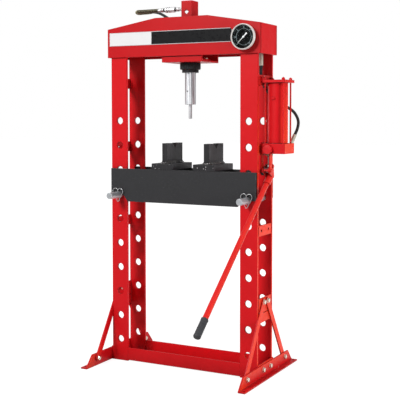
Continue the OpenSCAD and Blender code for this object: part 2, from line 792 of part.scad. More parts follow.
module pump_block() {
    color([0.82, 0.08, 0.08]) difference() {
        translate([side_x, -block_w / 2, pump_z]) cube([block_l, block_w, block_h]);
        tie_rod_places() translate([0, 0, block_top - tie_rod_in])
            cylinder(d = tie_rod_d + 0.02, h = tie_rod_in + 1);
        for (s = [-1, 1]) translate([0, s * pump_bolt_y, pump_bolt_z])
            bar_x(bolt_d + 0.02, side_x - 1, side_x + pump_bolt_depth + 1);
        translate([lever_cx, plunger_y, pump_z - 1]) cylinder(d = gland_neck_d + 0.1, h = gland_neck_h + 1);
        translate([lever_cx, plunger_y, pump_z - 1]) cylinder(d = plunger_d + 2 * run_clear, h = block_h - 3);
        translate([knob_x, 0, knob_z])
            bar_y(spindle_d + 2 * run_clear, -block_w / 2 - 1, -block_w / 2 + spindle_in + 1);
        translate([port_x, 0, port_z]) bar_y(port_d + 0.02, block_w / 2 - port_in, block_w / 2 + 1);
    }
}
// Places on the pump block, out from the upright and up from the block's underside
port_out = 99;
port_up = 18;
knob_out = 40;
knob_up = 20;
port_x = side_x + port_out;
port_z = pump_z + port_up;
port_d = 12;
port_in = 12;
knob_x = side_x + knob_out;
knob_z = pump_z + knob_up;
spindle_d = 10;
spindle_in = 24;

module reservoir_tube() {
    plug_d = 13;
    plug_out = 3;
    plug_side = -7;
    plug_down = 71;
    color([0.84, 0.07, 0.09]) translate([tank_cx, 0, block_top]) difference() {
        union() {
            cylinder(d = tank_d, h = tank_l, $fn = 96);
            translate([plug_side, 0, tank_l - plug_down])
                bar_y(plug_d, -tank_d / 2 - plug_out, -tank_d / 2 + tank_t);
        }
        translate([0, 0, -1]) cylinder(d = tank_d - 2 * tank_t, h = tank_l + 2, $fn = 96);
    }
}

// The lid is welded to the top tie plate through two gussets
module reservoir_lid() {
    gusset = 20;
    gusset_t = 4;
    color([0.84, 0.1, 0.09]) {
        difference() {
            translate([side_x, -block_w / 2, lid_z]) cube([block_l, block_w, lid_t]);
            tie_rod_places() translate([0, 0, lid_z - 1])
                cylinder(d = tie_rod_d + 2 * bolt_clear, h = lid_t + 2);
        }
        for (s = [-1, 1])
            translate([side_x, s * (block_w - gusset_t) / 2 + gusset_t / 2, lid_z + lid_t]) rotate([90, 0, 0])
                linear_extrude(gusset_t) polygon([[0, 0], [gusset, 0], [0, gusset]]);
    }
}

module tie_rods() {
    washer_t = 1.6;
    nut_t = 7;
    rod_top = 12;
    color([0.35, 0.3, 0.3]) tie_rod_places() {
        translate([0, 0, block_top - tie_rod_in])
            cylinder(d = tie_rod_d, h = tie_rod_in + tank_l + lid_t + rod_top);
        translate([0, 0, lid_z + lid_t]) difference() {
            union() {
                cylinder(d = 1.9 * tie_rod_d, h = washer_t);
                translate([0, 0, washer_t]) hex(1.65 * tie_rod_d, nut_t);
            }
            translate([0, 0, -1]) cylinder(d = tie_rod_d + 0.02, h = washer_t + nut_t + 2);
        }
    }
}

link_t = 6;
link_w = 20;
link_gap = 36;
cheek_t = 5;
cheek_gap = 24;

// Two flat links that hang from the block and carry the fulcrum pin
module fulcrum_links() {
    x = (link_gap + link_t) / 2;
    color([0.7, 0.08, 0.08]) for (s = [-1, 1]) translate([lever_cx + s * x, -fulcrum_y, 0])
        difference() {
            union() {
                translate([-link_t / 2, -link_w / 2, fulcrum_z]) cube([link_t, link_w, pump_z - fulcrum_z]);
                translate([0, 0, fulcrum_z]) bar_x(link_w, -link_t / 2, link_t / 2);
            }
            translate([0, 0, fulcrum_z]) bar_x(link_pin_d + 0.02, -link_t, link_t);
        }
}

// A headed pin along X that is centred on the lever
module cross_pin(reach) {
    bar_x(link_pin_d, -reach - 1, reach + 1);
    for (s = [-1, 1]) translate([s * (reach + 2), 0, 0]) bar_x(link_pin_d + 5, -2, 2);
}

module fulcrum_pin() {
    color([0.7, 0.7, 0.7]) translate([lever_cx, -fulcrum_y, fulcrum_z]) cross_pin(link_gap / 2 + link_t);
}

module plunger_pin() {
    color([0.7, 0.7, 0.7]) translate([lever_cx, plunger_y, plunger_pin_z])
        cross_pin(cheek_gap / 2 + cheek_t + touch);
}

// Distance from the fulcrum down to the handle's axis, square to that axis
socket_drop = 50;
// Distance along the handle from the point nearest the fulcrum back to the socket's upper end
socket_back = 25;
// Depth of the wall that closes the socket's upper end
socket_floor = 6;
// Thickness of the grip's closed end beyond the handle tube
grip_end = 4;
// Distance along the handle from the point nearest the fulcrum down to the foot of the cheeks
cheek_reach = 16;
// Direction of the handle at rest: forwards and down
module along_handle() {
    translate([lever_cx, -fulcrum_y, fulcrum_z]) rotate([90 + handle_angle, 0, 0])
        translate([0, -socket_drop, -socket_back]) children();
}

// The forked lever: two cheek plates welded to the socket tube
module lever_socket() {
    pin_arm = arm_l / cos(half_swing);
    slot_w = link_pin_d + 2 * open_pivot_clear;
    color([0.85, 0.15, 0.1]) {
        difference() {
            union() {
                along_handle() cylinder(d = socket_d, h = socket_l);
                for (s = [-1, 1]) translate([lever_cx + s * (cheek_gap + cheek_t) / 2, 0, 0]) cheek(pin_arm);
            }
            along_handle() translate([0, 0, socket_floor]) cylinder(d = handle_d + 0.1, h = socket_l);
            translate([lever_cx, -fulcrum_y, fulcrum_z])
                bar_x(link_pin_d + 2 * run_clear, -link_gap, link_gap);
            // The slot that the plunger's pin slides along as the lever swings
            translate([lever_cx, -fulcrum_y, fulcrum_z]) rotate([half_swing, 0, 0]) {
                for (y = [arm_l, pin_arm]) translate([0, y, 0]) bar_x(slot_w, -link_gap, link_gap);
                translate([-link_gap, arm_l, -slot_w / 2]) cube([2 * link_gap, pin_arm - arm_l, slot_w]);
            }
        }
    }
}

// One flat cheek that joins the fulcrum, the plunger's pin and the socket
module cheek(pin_arm) {
    rotate([0, -90, 0]) translate([0, 0, -cheek_t / 2]) linear_extrude(cheek_t) {
        // Drawn with z along X and y along Y, then stood up in the YZ plane
        hull() {
            translate([fulcrum_z, -fulcrum_y]) circle(r = 11, $fn = 32);
            translate([fulcrum_z + pin_arm * sin(half_swing), -fulcrum_y + pin_arm * cos(half_swing)])
                circle(r = 12, $fn = 32);
            translate([fulcrum_z - socket_drop * cos(handle_angle) + cheek_reach * sin(handle_angle),
                -fulcrum_y + socket_drop * sin(handle_angle) + cheek_reach * cos(handle_angle)])
                circle(r = 9, $fn = 32);
        }
    }
}

module handle_tube() {
    color([0.88, 0.16, 0.1]) along_handle() translate([0, 0, socket_floor]) difference() {
        cylinder(d = handle_d, h = handle_l - socket_floor - grip_end);
        translate([0, 0, -1]) cylinder(d = handle_d - 2 * handle_t, h = handle_l + 2);
    }
}

// A moulded sleeve with a closed, rounded end and shallow finger rings
module handle_grip() {
    r = grip_d / 2;
    color([0.25, 0.27, 0.29]) along_handle() translate([0, 0, handle_l - grip_l]) difference() {
        rotate_extrude() polygon([
            [0, 0], [r - 1.5, 0], [r, 2], [r, 8], [r - 1, 10], [r - 1, grip_l - 16], [r, grip_l - 14],
            [r, grip_l - 5], [r - 2, grip_l - 1.5], [r - 5, grip_l], [0, grip_l]]);
        translate([0, 0, -1]) cylinder(d = handle_d + 0.1, h = grip_l - grip_end + 1);
    }
}

eye_r = 9;
module pump_plunger() {
    top = pump_z + block_h - 6;
    color([0.82, 0.82, 0.84]) difference() {
        union() {
            translate([lever_cx, plunger_y, plunger_pin_z]) cylinder(d = plunger_d, h = top - plunger_pin_z);
            translate([lever_cx, plunger_y, plunger_pin_z]) bar_x(2 * eye_r, -plunger_d / 2, plunger_d / 2);
        }
        translate([lever_cx, plunger_y, plunger_pin_z]) bar_x(link_pin_d + 0.02, -plunger_d, plunger_d);
    }
}

gland_neck_d = 24;
gland_neck_h = 12;
module plunger_gland() {
    color([0.7, 0.6, 0.35]) translate([lever_cx, plunger_y, 0]) difference() {
        union() {
            translate([0, 0, pump_z - 10]) hex(30, 10);
            translate([0, 0, pump_z - 1]) cylinder(d = gland_neck_d, h = gland_neck_h - 1);
        }
        translate([0, 0, pump_z - 11]) cylinder(d = plunger_d + 2 * run_clear, h = 40);
    }
}

module release_knob() {
    y0 = -block_w / 2 - 2;
    flutes = 12;
    color([0.84, 0.1, 0.1]) translate([knob_x, 0, knob_z]) {
        bar_y(spindle_d, y0 - 2, -block_w / 2 + spindle_in);
        difference() {
            bar_y(knob_d, y0 - knob_t, y0);
            for (k = [0 : flutes - 1]) rotate([0, k * 360 / flutes, 0]) translate([knob_d / 2 + 1.5, 0, 0])
                bar_y(6, y0 - knob_t - 1, y0 + 1);
        }
    }
}

// ---- Hose ----

// The hose's route in three parts, each measured from what it is fastened to.
// From the fitting on the pump in between the bars of the right upright
hose_low = [
    [109, 92, 84.6], [117, 105, 113.6], [118, 114, 143.2], [110, 114, 167.7], [97, 104, 191.3],
    [78, 90, 208.7], [51, 77, 224.2], [21, 66, 245.9], [-7, 58, 277], [-32, 52, 316.3]];
// Up the upright into the head
hose_mid = [
    [-44, 48, -90], [-43, 48, -50], [-43, 48, 10], [-46, 48, 40], [-62, 50, 72], [-92, 53, 98]];
// Along the head, out over its rear edge and round the loop to the coupler
hose_far = [
    [260, 56, -117], [221, 58, -111], [181, 60, -108], [141, 61, -106], [101, 62, -104], [61, 62, -101],
    [21, 62, -97], [-19, 62, -90], [-58, 63, -78], [-95, 66, -63], [-124, 67, -51], [-150, 69, -38],
    [-175, 74, -25], [-200, 81, -12], [-226, 89, -1], [-251, 96, 5], [-277, 102, 7], [-302, 104, 6],
    [-323, 96, 4], [-334, 76, 2], [-329, 50, 2], [-315, 27, 1], [-297, 9, 1], [-272, 1, 0], [-246, 0, 0],
    [-212, 0, 0], [-178, 0, 0]];
hose_route = concat(
    [for (p = hose_low) p + [side_x, 0, pump_z]],
    [for (p = hose_mid) p + [side_x, 0, head_z]],
    [for (p = hose_far) p + [0, 0, inlet_z]]);
// The first point of the route that the spring guard covers
guard_first = 32;
hose_start = hose_route[0];
hose_dir = unit(hose_route[1] - hose_route[0]);
hose_sides = 10;

module hose() color([0.08, 0.08, 0.08]) sweep(hose_route, hose_d / 2, hose_sides);

module hose_guard() {
    color([0.6, 0.52, 0.25]) sleeve([for (i = [guard_first : len(hose_route) - 1]) hose_route[i]],
        guard_d / 2, guard_bore / 2, hose_sides);
}

// The crimped sleeve round the hose where it goes up into the head
module hose_joiner() {
    joiner_d = 20;
    joiner_l = 56;
    foot = hose_mid[1] + [side_x, 0, head_z + 2];
    color([0.62, 0.6, 0.5]) translate(foot) difference() {
        cylinder(d = joiner_d, h = joiner_l);
        translate([0, 0, -1]) cylinder(d = guard_bore, h = joiner_l + 2);
    }
}

// Turns +Z to the direction d
module aim(d) rotate([0, acos(d[2]), atan2(d[1], d[0])]) children();

// The elbow on the pump block and the ferrule that is crimped on the hose
module hose_fitting() {
    ferrule_l = 42;
    ferrule_d = 18.5;
    joint_d = 18;
    elbow_d = 16;
    nut_l = 12;
    foot = hose_start - ferrule_l * hose_dir;
    elbow = [port_x, block_w / 2 + nut_l - 2, port_z];
    color([0.62, 0.6, 0.5]) {
        translate(foot) aim(hose_dir) cylinder(d = ferrule_d, h = ferrule_l);
        translate(foot) sphere(d = joint_d);
        translate([port_x, 0, port_z]) bar_y(port_d, block_w / 2 - port_in + 1, block_w / 2);
        translate([port_x, block_w / 2 + nut_l, port_z]) rotate([90, 0, 0]) hex(19, nut_l);
        translate(elbow) sphere(d = joint_d);
        translate(elbow) aim(unit(foot - elbow)) cylinder(d = elbow_d, h = norm(foot - elbow));
    }
}

// The crimped end, the coupler's two halves and the nipple in the inlet
module hose_coupler() {
    end = hose_route[len(hose_route) - 1];
    neck_d = 18;
    nipple_d = 14;
    nut_af = 20;
    nut_l = 14;
    // Places along the coupler from the hose's end: two nuts, with the sleeve between them
    nut_a = end[0] + 20;
    sleeve_x = nut_a + 22;
    sleeve_l = 54;
    nut_b = nut_a + 84;
    groove_w = 3;
    color([0.8, 0.8, 0.82]) translate([0, 0, end[2]]) difference() {
        union() {
            bar_x(neck_d, end[0], nut_b);
            for (x = [nut_a, nut_b]) translate([x, 0, 0]) rotate([0, 90, 0]) hex(nut_af, nut_l);
            bar_x(coupler_d, sleeve_x, sleeve_x + sleeve_l);
            bar_x(nipple_d, nut_b + nut_l, -inlet_reach);
        }
        for (k = [1 : 3]) translate([sleeve_x + 4 * k * groove_w, 0, 0]) difference() {
            bar_x(coupler_d + 2, 0, groove_w);
            bar_x(coupler_d - 1.6, -1, groove_w + 1);
        }
    }
}

// ---- Gauge ----

stem_d = 16;
// Distance that the stem reaches in past the front of the upright
stem_in = 14;
stem_bore = 6;
case_wall = 3;
// Width of the case's shelf under the dial and of the bezel's lip over the glass
shelf_w = 4;
lip_w = 4;
bezel_lip = 5.5;
lens_t = 2.5;
dial_t = 1.5;
dial_y = -head_y - gauge_out + bezel_lip + lens_t + 9;
lens_y = -head_y - gauge_out + bezel_lip;
rim_y = lens_y + lens_t;

module at_gauge() translate([gauge_x, 0, gauge_z]) children();

module gauge_case() {
    color([0.82, 0.82, 0.84]) at_gauge() difference() {
        union() {
            bar_y(case_d, rim_y, -head_y);
            bar_y(stem_d, -head_y - 1, -front_y + stem_in);
        }
        bar_y(case_d - 2 * case_wall, rim_y - 1, dial_y + dial_t);
        bar_y(case_d - 2 * case_wall - 2 * shelf_w, rim_y - 1, -head_y - 4);
        bar_y(stem_bore, -head_y - 6, -front_y + stem_in + 1);
    }
}

module gauge_bezel() {
    color([0.9, 0.9, 0.9]) at_gauge() difference() {
        bar_y(bezel_d, -head_y - gauge_out, -head_y - gauge_out + bezel_l);
        bar_y(case_d + 0.1, lens_y, 0);
        bar_y(case_d - 2 * lip_w, -head_y - gauge_out - 1, lens_y + 1);
    }
}

module gauge_dial() {
    color([0.06, 0.06, 0.07]) at_gauge() difference() {
        bar_y(case_d - 2 * case_wall - 0.2, dial_y, dial_y + dial_t);
        bar_y(arbor_d + 2 * run_clear, dial_y - 1, dial_y + dial_t + 1);
    }
}

module gauge_lens() color([0.8, 0.9, 0.95, 0.3]) at_gauge() bar_y(case_d - 1, lens_y, rim_y);

arbor_d = 4;
needle_angle = 225;
// The needle with its broad tail, hub and arbor; it points to the lower left at zero
module gauge_needle() {
    y0 = dial_y - 4;
    hub_d = 9;
    tail = 24;
    tail_w = 8;
    color([0.95, 0.95, 0.95]) at_gauge() {
        bar_y(arbor_d, y0, dial_y + dial_t + 2);
        bar_y(hub_d, y0 - 1.5, y0 + 1);
        rotate([0, needle_angle, 0]) translate([0, y0, 0]) rotate([90, 0, 0]) linear_extrude(1)
            polygon([
                [-1.6, 0], [-0.5, needle_l], [0.5, needle_l], [1.6, 0], [tail_w / 2, -tail], [-tail_w / 2, -tail]]);
    }
}

// The pipe from the gauge's stem up inside the head to the cylinder
module gauge_pipe() {
    d = 8;
    y0 = -front_y + stem_in;
    y1 = -55;
    z1 = chamber_z + barrel_cap / 2;
    color([0.5, 0.5, 0.5]) {
        translate([gauge_x, 0, gauge_z]) bar_y(d, y0, y1);
        translate([gauge_x, y1, gauge_z]) sphere(d = d);
        translate([gauge_x, y1, gauge_z]) cylinder(d = d, h = z1 - gauge_z);
        translate([gauge_x, y1, z1]) sphere(d = d);
        translate([0, y1, z1]) bar_x(d, 0, gauge_x);
        translate([0, y1, z1]) sphere(d = d);
        translate([0, 0, z1]) bar_y(d, y1, -barrel_d / 2 + 0.2);
    }
}

// ---- Bed ----

module bed_outline() {
    bottom = bed_top - bed_h;
    tab = bottom + bed_corner_h;
    x_end = side_x - bed_end_in;
    x_tab = side_x - bed_corner_in;
    x_low = side_x - bed_bottom_in;
    difference() {
        polygon([
            [-x_end, bed_top], [-x_end, tab], [-x_tab, tab], [-x_low, bottom],
            [x_low, bottom], [x_tab, tab], [x_end, tab], [x_end, bed_top]]);
        for (s = [-1, 1]) translate([s * hole_x, saddle_z]) circle(r = saddle_r);
    }
}
// The saddles rest on the pins
saddle_z = pin_z + pin_d / 2 + touch - saddle_r;

module bed_plate() rotate([90, 0, 0]) linear_extrude(bed_t) bed_outline();

module bed_front_plate() color([0.2, 0.2, 0.21]) translate([0, -bed_y, 0]) bed_plate();
module bed_rear_plate() color([0.2, 0.2, 0.21]) translate([0, bed_y + bed_t, 0]) bed_plate();

module bed_spacers() {
    gap = 4;
    below = 30;
    x = side_x - bar_w - bed_spacer_t - gap;
    color([0.15, 0.15, 0.16]) both_sides()
        translate([x, -bed_y, bed_top - bed_spacer_h - below]) cube([bed_spacer_t, 2 * bed_y, bed_spacer_h]);
}

module bed_pin() {
    y0 = -bed_y - bed_t - pin_front;
    y1 = bed_y + bed_t + pin_rear;
    chamfer = 2;
    color([0.75, 0.75, 0.77]) difference() {
        union() {
            translate([0, 0, pin_z]) bar_y(pin_d, y0 + chamfer, y1 - chamfer);
            translate([0, y0, pin_z]) rotate([-90, 0, 0])
                cylinder(d1 = pin_d - 2 * chamfer, d2 = pin_d, h = chamfer);
            translate([0, y1 - chamfer, pin_z]) rotate([-90, 0, 0])
                cylinder(d1 = pin_d, d2 = pin_d - 2 * chamfer, h = chamfer);
        }
        translate([0, clip_y, pin_z - pin_d]) cylinder(d = clip_wire + 0.6, h = 2 * pin_d, $fn = 24);
    }
}
clip_y = -bed_y - bed_t - clip_gap - clip_wire / 2;

module bed_pin_left() translate([-hole_x, 0, 0]) bed_pin();
module bed_pin_right() translate([hole_x, 0, 0]) bed_pin();

// A spring clip bent from one wire: a straight leg through the pin, then two loops round it that
// rest on top of the pin and meet in a point under it
module pin_clip() {
    top = (pin_d + clip_wire) / 2 + touch;
    tip_r = 4;
    tip_z = tip_r - clip_point + clip_wire / 2;
    // The straight sides touch both the loops' circles and the tip's circle
    reach = norm([clip_loop, top - tip_z]);
    lean = atan(clip_loop / (top - tip_z)) + asin((clip_loop - tip_r) / reach);
    turn = (180 + lean) / 12;
    // The wire's end lies in front of its beginning
    beside = [0, -clip_wire - 0.2, 0];
    leg = [[0, 0, -pin_d / 2 - 5], [0, 0, 0]];
    loop = [for (k = [0 : 12]) [clip_loop * (cos(k * turn) - 1), 0, top + clip_loop * sin(k * turn)]];
    tip = [for (k = [0 : 4]) let (a = 180 + lean + k * (90 - lean) / 2)
        [tip_r * cos(a), 0, tip_z + tip_r * sin(a)]];
    back = [for (k = [12 : -1 : 0]) [-loop[k][0], 0, loop[k][2]] + beside];
    color([0.7, 0.7, 0.72]) translate([0, clip_y, pin_z])
        sweep(concat(leg, loop, tip, back), clip_wire / 2, 8);
}
module pin_clip_left() translate([-hole_x, 0, 0]) pin_clip();
module pin_clip_right() translate([hole_x, 0, 0]) pin_clip();

// A press block: a foot across the bed with a notched upright welded on it
module vblock() {
    bead = 7;
    z0 = bed_top + vblock_foot_h;
    color([0.22, 0.22, 0.24]) {
        translate([-vblock_w / 2, -vblock_d / 2, bed_top]) cube([vblock_w, vblock_d, vblock_foot_h]);
        translate([vblock_offset - vblock_t / 2, 0, 0]) rotate([90, 0, 90]) linear_extrude(vblock_t) polygon([
            [-vblock_up_d / 2, z0], [vblock_up_d / 2, z0], [vblock_up_d / 2, z0 + vblock_up_h],
            [vnotch_w / 2, z0 + vblock_up_h], [0, z0 + vblock_up_h - vnotch_h], [-vnotch_w / 2, z0 + vblock_up_h],
            [-vblock_up_d / 2, z0 + vblock_up_h]]);
        for (s = [-1, 1]) translate([vblock_offset + s * vblock_t / 2, -vblock_up_d / 2, z0])
            rotate([90, 0, 180]) linear_extrude(vblock_up_d) polygon([[-s * bead, 0], [0, 0], [0, bead]]);
    }
}
module vblock_left() translate([vblock_left_x, 0, 0]) vblock();
module vblock_right() translate([vblock_right_x, 0, 0]) vblock();

upright_bar(-1, false);  // upright_front_left
upright_bar(1, false);  // upright_front_right
upright_bar(-1, true);  // upright_rear_left
upright_bar(1, true);  // upright_rear_right
tie_plates();
head_front_plate();
head_rear_plate();
head_end_plates();
ram_carrier();
top_bracket();
head_panel();
base_channel();
foot_left();
foot_right();
braces_left();
braces_right();
frame_fasteners();
cylinder_barrel();
lock_collar();
gland_nut();
piston_rod();
piston_head();
piston_seal();
ram_nose();
press_pin();
return_spring();
inlet_elbow();
pump_block();
reservoir_tube();
reservoir_lid();
tie_rods();
fulcrum_links();
fulcrum_pin();
lever_socket();
handle_tube();
handle_grip();
pump_plunger();
plunger_pin();
plunger_gland();
release_knob();
hose_fitting();
hose();
hose_guard();
hose_joiner();
hose_coupler();
gauge_case();
gauge_bezel();
gauge_dial();
gauge_lens();
gauge_needle();
gauge_pipe();
bed_front_plate();
bed_rear_plate();
bed_spacers();
bed_pin_left();
bed_pin_right();
pin_clip_left();
pin_clip_right();
vblock_left();
vblock_right();
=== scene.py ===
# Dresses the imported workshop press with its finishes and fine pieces, and sets its stage.
import math
import random

import bmesh
import bpy
from mathutils import Matrix, Vector


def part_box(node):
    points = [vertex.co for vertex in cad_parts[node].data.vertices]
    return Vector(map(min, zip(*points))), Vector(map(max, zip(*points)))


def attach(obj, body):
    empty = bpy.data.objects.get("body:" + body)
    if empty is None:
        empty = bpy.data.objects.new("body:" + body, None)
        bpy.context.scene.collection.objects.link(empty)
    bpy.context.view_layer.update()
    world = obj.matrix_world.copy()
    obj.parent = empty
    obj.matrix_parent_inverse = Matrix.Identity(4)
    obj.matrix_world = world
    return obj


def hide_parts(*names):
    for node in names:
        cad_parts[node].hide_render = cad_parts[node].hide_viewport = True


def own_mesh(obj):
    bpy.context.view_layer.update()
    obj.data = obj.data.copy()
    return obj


bl_info = {
    "name": "Workshop Press Dressing",
    "version": (1, 0, 0),
    "blender": (4, 5, 0),
    "location": "View3D > Sidebar > Press",
    "description": "Finishes, welds, fasteners, hose, gauge face and stage for a hydraulic workshop press",
    "category": "Object",
}

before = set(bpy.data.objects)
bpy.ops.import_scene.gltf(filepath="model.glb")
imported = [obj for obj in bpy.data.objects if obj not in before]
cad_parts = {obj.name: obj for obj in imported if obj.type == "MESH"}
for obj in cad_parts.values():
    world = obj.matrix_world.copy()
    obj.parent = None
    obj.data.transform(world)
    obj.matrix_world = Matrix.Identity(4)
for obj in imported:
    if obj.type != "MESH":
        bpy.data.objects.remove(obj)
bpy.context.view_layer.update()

# The hose's centreline from the pump's ferrule, up the right upright, along the head and round to the coupler
HOSE_ROUTE = [
    (0.502, 0.092, 1.123), (0.5096, 0.105, 1.152), (0.5102, 0.114, 1.182), (0.503, 0.114, 1.206),
    (0.490, 0.104, 1.230), (0.471, 0.090, 1.247), (0.444, 0.077, 1.263), (0.414, 0.066, 1.284),
    (0.386, 0.058, 1.315), (0.361, 0.052, 1.355), (0.349, 0.048, 1.403), (0.350, 0.048, 1.443),
    (0.350, 0.048, 1.503), (0.347, 0.048, 1.533), (0.331, 0.050, 1.565), (0.301, 0.053, 1.591),
    (0.260, 0.056, 1.605), (0.221, 0.058, 1.611), (0.181, 0.060, 1.614), (0.141, 0.061, 1.616),
    (0.101, 0.062, 1.618), (0.061, 0.062, 1.621), (0.021, 0.062, 1.625), (-0.019, 0.062, 1.632),
    (-0.058, 0.063, 1.644), (-0.095, 0.066, 1.659), (-0.124, 0.067, 1.671), (-0.150, 0.069, 1.684),
    (-0.175, 0.074, 1.697), (-0.200, 0.081, 1.710), (-0.226, 0.089, 1.721), (-0.251, 0.096, 1.727),
    (-0.277, 0.102, 1.729), (-0.302, 0.104, 1.728), (-0.323, 0.096, 1.726), (-0.334, 0.076, 1.724),
    (-0.329, 0.050, 1.724), (-0.315, 0.027, 1.723), (-0.297, 0.009, 1.723), (-0.272, 0.001, 1.722),
    (-0.246, 0.0, 1.722), (-0.212, 0.0, 1.722), (-0.178, 0.0, 1.722),
]
GUARD_FIRST = 32

SPIN_X = Matrix.Rotation(math.radians(90), 4, "Y")
SPIN_Y = Matrix.Rotation(math.radians(-90), 4, "X")
FORWARD = Matrix.Rotation(math.radians(90), 4, "X")


# ---- Shapes ----

def corners(node):
    """The lowest and highest corner of a node, as vectors in metres."""
    low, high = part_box(node)
    return Vector(low), Vector(high)


def middle(node):
    """The middle of a node's box."""
    low, high = corners(node)
    return (low + high) / 2


def at(x, y, z):
    """A move to a point."""
    return Matrix.Translation((x, y, z))


def join(whole, part, place=Matrix()):
    """Adds a finished shape to another one, set in its place."""
    part.transform(place)
    mesh = bpy.data.meshes.new("part")
    part.to_mesh(mesh)
    part.free()
    whole.from_mesh(mesh)
    bpy.data.meshes.remove(mesh)


def turned(profile, steps=48):
    """A shape turned about Z from (radius, height) points."""
    shape = bmesh.new()
    points = [shape.verts.new((radius, 0, height)) for radius, height in profile]
    lines = [shape.edges.new(pair) for pair in zip(points, points[1:])]
    bmesh.ops.spin(shape, geom=points + lines, axis=(0, 0, 1), cent=(0, 0, 0), dvec=(0, 0, 0),
                   angle=math.tau, steps=steps, use_merge=True)
    bmesh.ops.remove_doubles(shape, verts=shape.verts, dist=2e-6)
    return facing_out(shape)


def ring(inner, outer, low, high, soft=0.0006, steps=48):
    """A turned ring with softened edges."""
    return turned([
        (inner, low), (outer - soft, low), (outer, low + soft), (outer, high - soft), (outer - soft, high),
        (inner, high), (inner, low)], steps)


def facing_out(shape):
    """The shape with its faces turned outwards."""
    bmesh.ops.recalc_face_normals(shape, faces=shape.faces)
    return shape


def prism(flats, height, soft=0.0006):
    """A hexagon on Z = 0 with its corners and its upper edge softened."""
    shape = bmesh.new()
    bmesh.ops.create_circle(shape, cap_ends=True, segments=6, radius=flats / 2 / math.cos(math.pi / 6))
    made = bmesh.ops.extrude_face_region(shape, geom=list(shape.faces))
    raised = [item for item in made["geom"] if isinstance(item, bmesh.types.BMVert)]
    bmesh.ops.translate(shape, vec=(0, 0, height), verts=raised)
    bmesh.ops.bevel(shape, geom=list(shape.edges), offset=soft, offset_type="OFFSET", segments=2,
                    profile=0.5, affect="EDGES", material=-1)
    return facing_out(shape)


def slab(low, high, soft=0.0008):
    """A plate between two corners with softened edges."""
    shape = bmesh.new()
    bmesh.ops.create_cube(shape, size=1)
    size = Vector(high) - Vector(low)
    shape.transform(Matrix.Translation((Vector(low) + Vector(high)) / 2) @ Matrix.Diagonal((*size, 1)))
    bmesh.ops.bevel(shape, geom=list(shape.edges), offset=soft, offset_type="OFFSET", segments=2,
                    profile=0.5, affect="EDGES", material=-1)
    return shape


def threaded(radius, low, high, pitch=0.0016, depth=0.0005, steps=24):
    """A threaded end with a chamfered tip, drawn as close rings."""
    profile = [(0, low), (radius, low)]
    height = low
    while height + pitch < high - 0.001:
        profile += [
            (radius, height + pitch * 0.25), (radius - depth, height + pitch * 0.6), (radius, height + pitch)]
        height += pitch
    profile += [(radius - 0.001, high), (0, high)]
    return turned(profile, steps)


def shape_of(curve):
    """The shape of a curve or of figures, with the curve cleared away."""
    holder = bpy.data.objects.new("holder", curve)
    mesh = bpy.data.meshes.new_from_object(holder)
    shape = bmesh.new()
    shape.from_mesh(mesh)
    bpy.data.objects.remove(holder)
    bpy.data.curves.remove(curve)
    bpy.data.meshes.remove(mesh)
    return shape


def swept(points, radius, sides=3, scales=None):
    """A round wire along a line of points, closed at its ends, as a shape with its own UV map."""
    curve = bpy.data.curves.new("swept", "CURVE")
    curve.dimensions = "3D"
    curve.bevel_depth = radius
    curve.bevel_resolution = sides
    curve.use_fill_caps = True
    line = curve.splines.new("POLY")
    line.points.add(len(points) - 1)
    for index, point in enumerate(points):
        line.points[index].co = (*point, 1)
        line.points[index].radius = scales[index] if scales else 1
    return shape_of(curve)


def rounded_line(points, cuts=6):
    """The points with smooth curves between them."""
    out = []
    count = len(points)
    for index in range(count - 1):
        before = Vector(points[max(index - 1, 0)])
        start = Vector(points[index])
        end = Vector(points[index + 1])
        after = Vector(points[min(index + 2, count - 1)])
        for step in range(cuts):
            t = step / cuts
            out.append(0.5 * ((2 * start) + (end - before) * t + (2 * before - 5 * start + 4 * end - after) * t * t
                              + (3 * start - before - 3 * end + after) * t ** 3))
    out.append(Vector(points[-1]))
    return out


def weld(start, end, radius, seed=1, ripple=0.0032):
    """A weld bead from start to end, laid in ripples of uneven width."""
    chance = random.Random(seed)
    start, end = Vector(start), Vector(end)
    length = (end - start).length
    count = max(4, int(length / ripple) * 2)
    points, scales = [], []
    for index in range(count + 1):
        share = index / count
        points.append(start.lerp(end, share) + Vector([chance.uniform(-1, 1) * radius * 0.06 for axis in range(3)]))
        swell = 1.0 if index % 2 else 0.84
        ends = min(1, 0.55 + min(share, 1 - share) * length / (2 * radius))
        scales.append((swell + chance.uniform(-0.07, 0.07)) * ends)
    return swept(points, radius, 2, scales)


def make(name, shape, finish, body, angle=35, instead=None):
    """A finished piece at the origin, riding on its body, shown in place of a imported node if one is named."""
    mesh = bpy.data.meshes.new(name)
    shape.to_mesh(mesh)
    shape.free()
    mesh.materials.append(bpy.data.materials[finish])
    mesh.shade_smooth()
    mesh.set_sharp_from_angle(angle=math.radians(angle))
    piece = bpy.data.objects.new(name, mesh)
    bpy.context.scene.collection.objects.link(piece)
    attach(piece, body)
    if instead:
        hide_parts(instead)
    return piece


# ---- Finishes ----

def add(tree, kind, sockets=None, **settings):
    """One shader node with its settings, and its sockets set or linked."""
    node = tree.nodes.new("ShaderNode" + kind)
    for key, value in settings.items():
        setattr(node, key, value)
    for key, value in (sockets or {}).items():
        if isinstance(value, bpy.types.NodeSocket):
            tree.links.new(value, node.inputs[key])
        else:
            node.inputs[key].default_value = value
    return node


def start_finish(name):
    """A new material, with its tree, its main shader and the piece's own coordinates."""
    finish = bpy.data.materials.new(name)
    finish.use_nodes = True
    tree = finish.node_tree
    shader = tree.nodes["Principled BSDF"]
    place = add(tree, "TexCoord")
    return tree, shader, place


def feed(tree, shader, socket, value):
    """Links a value to one socket of the main shader."""
    tree.links.new(value, shader.inputs[socket])


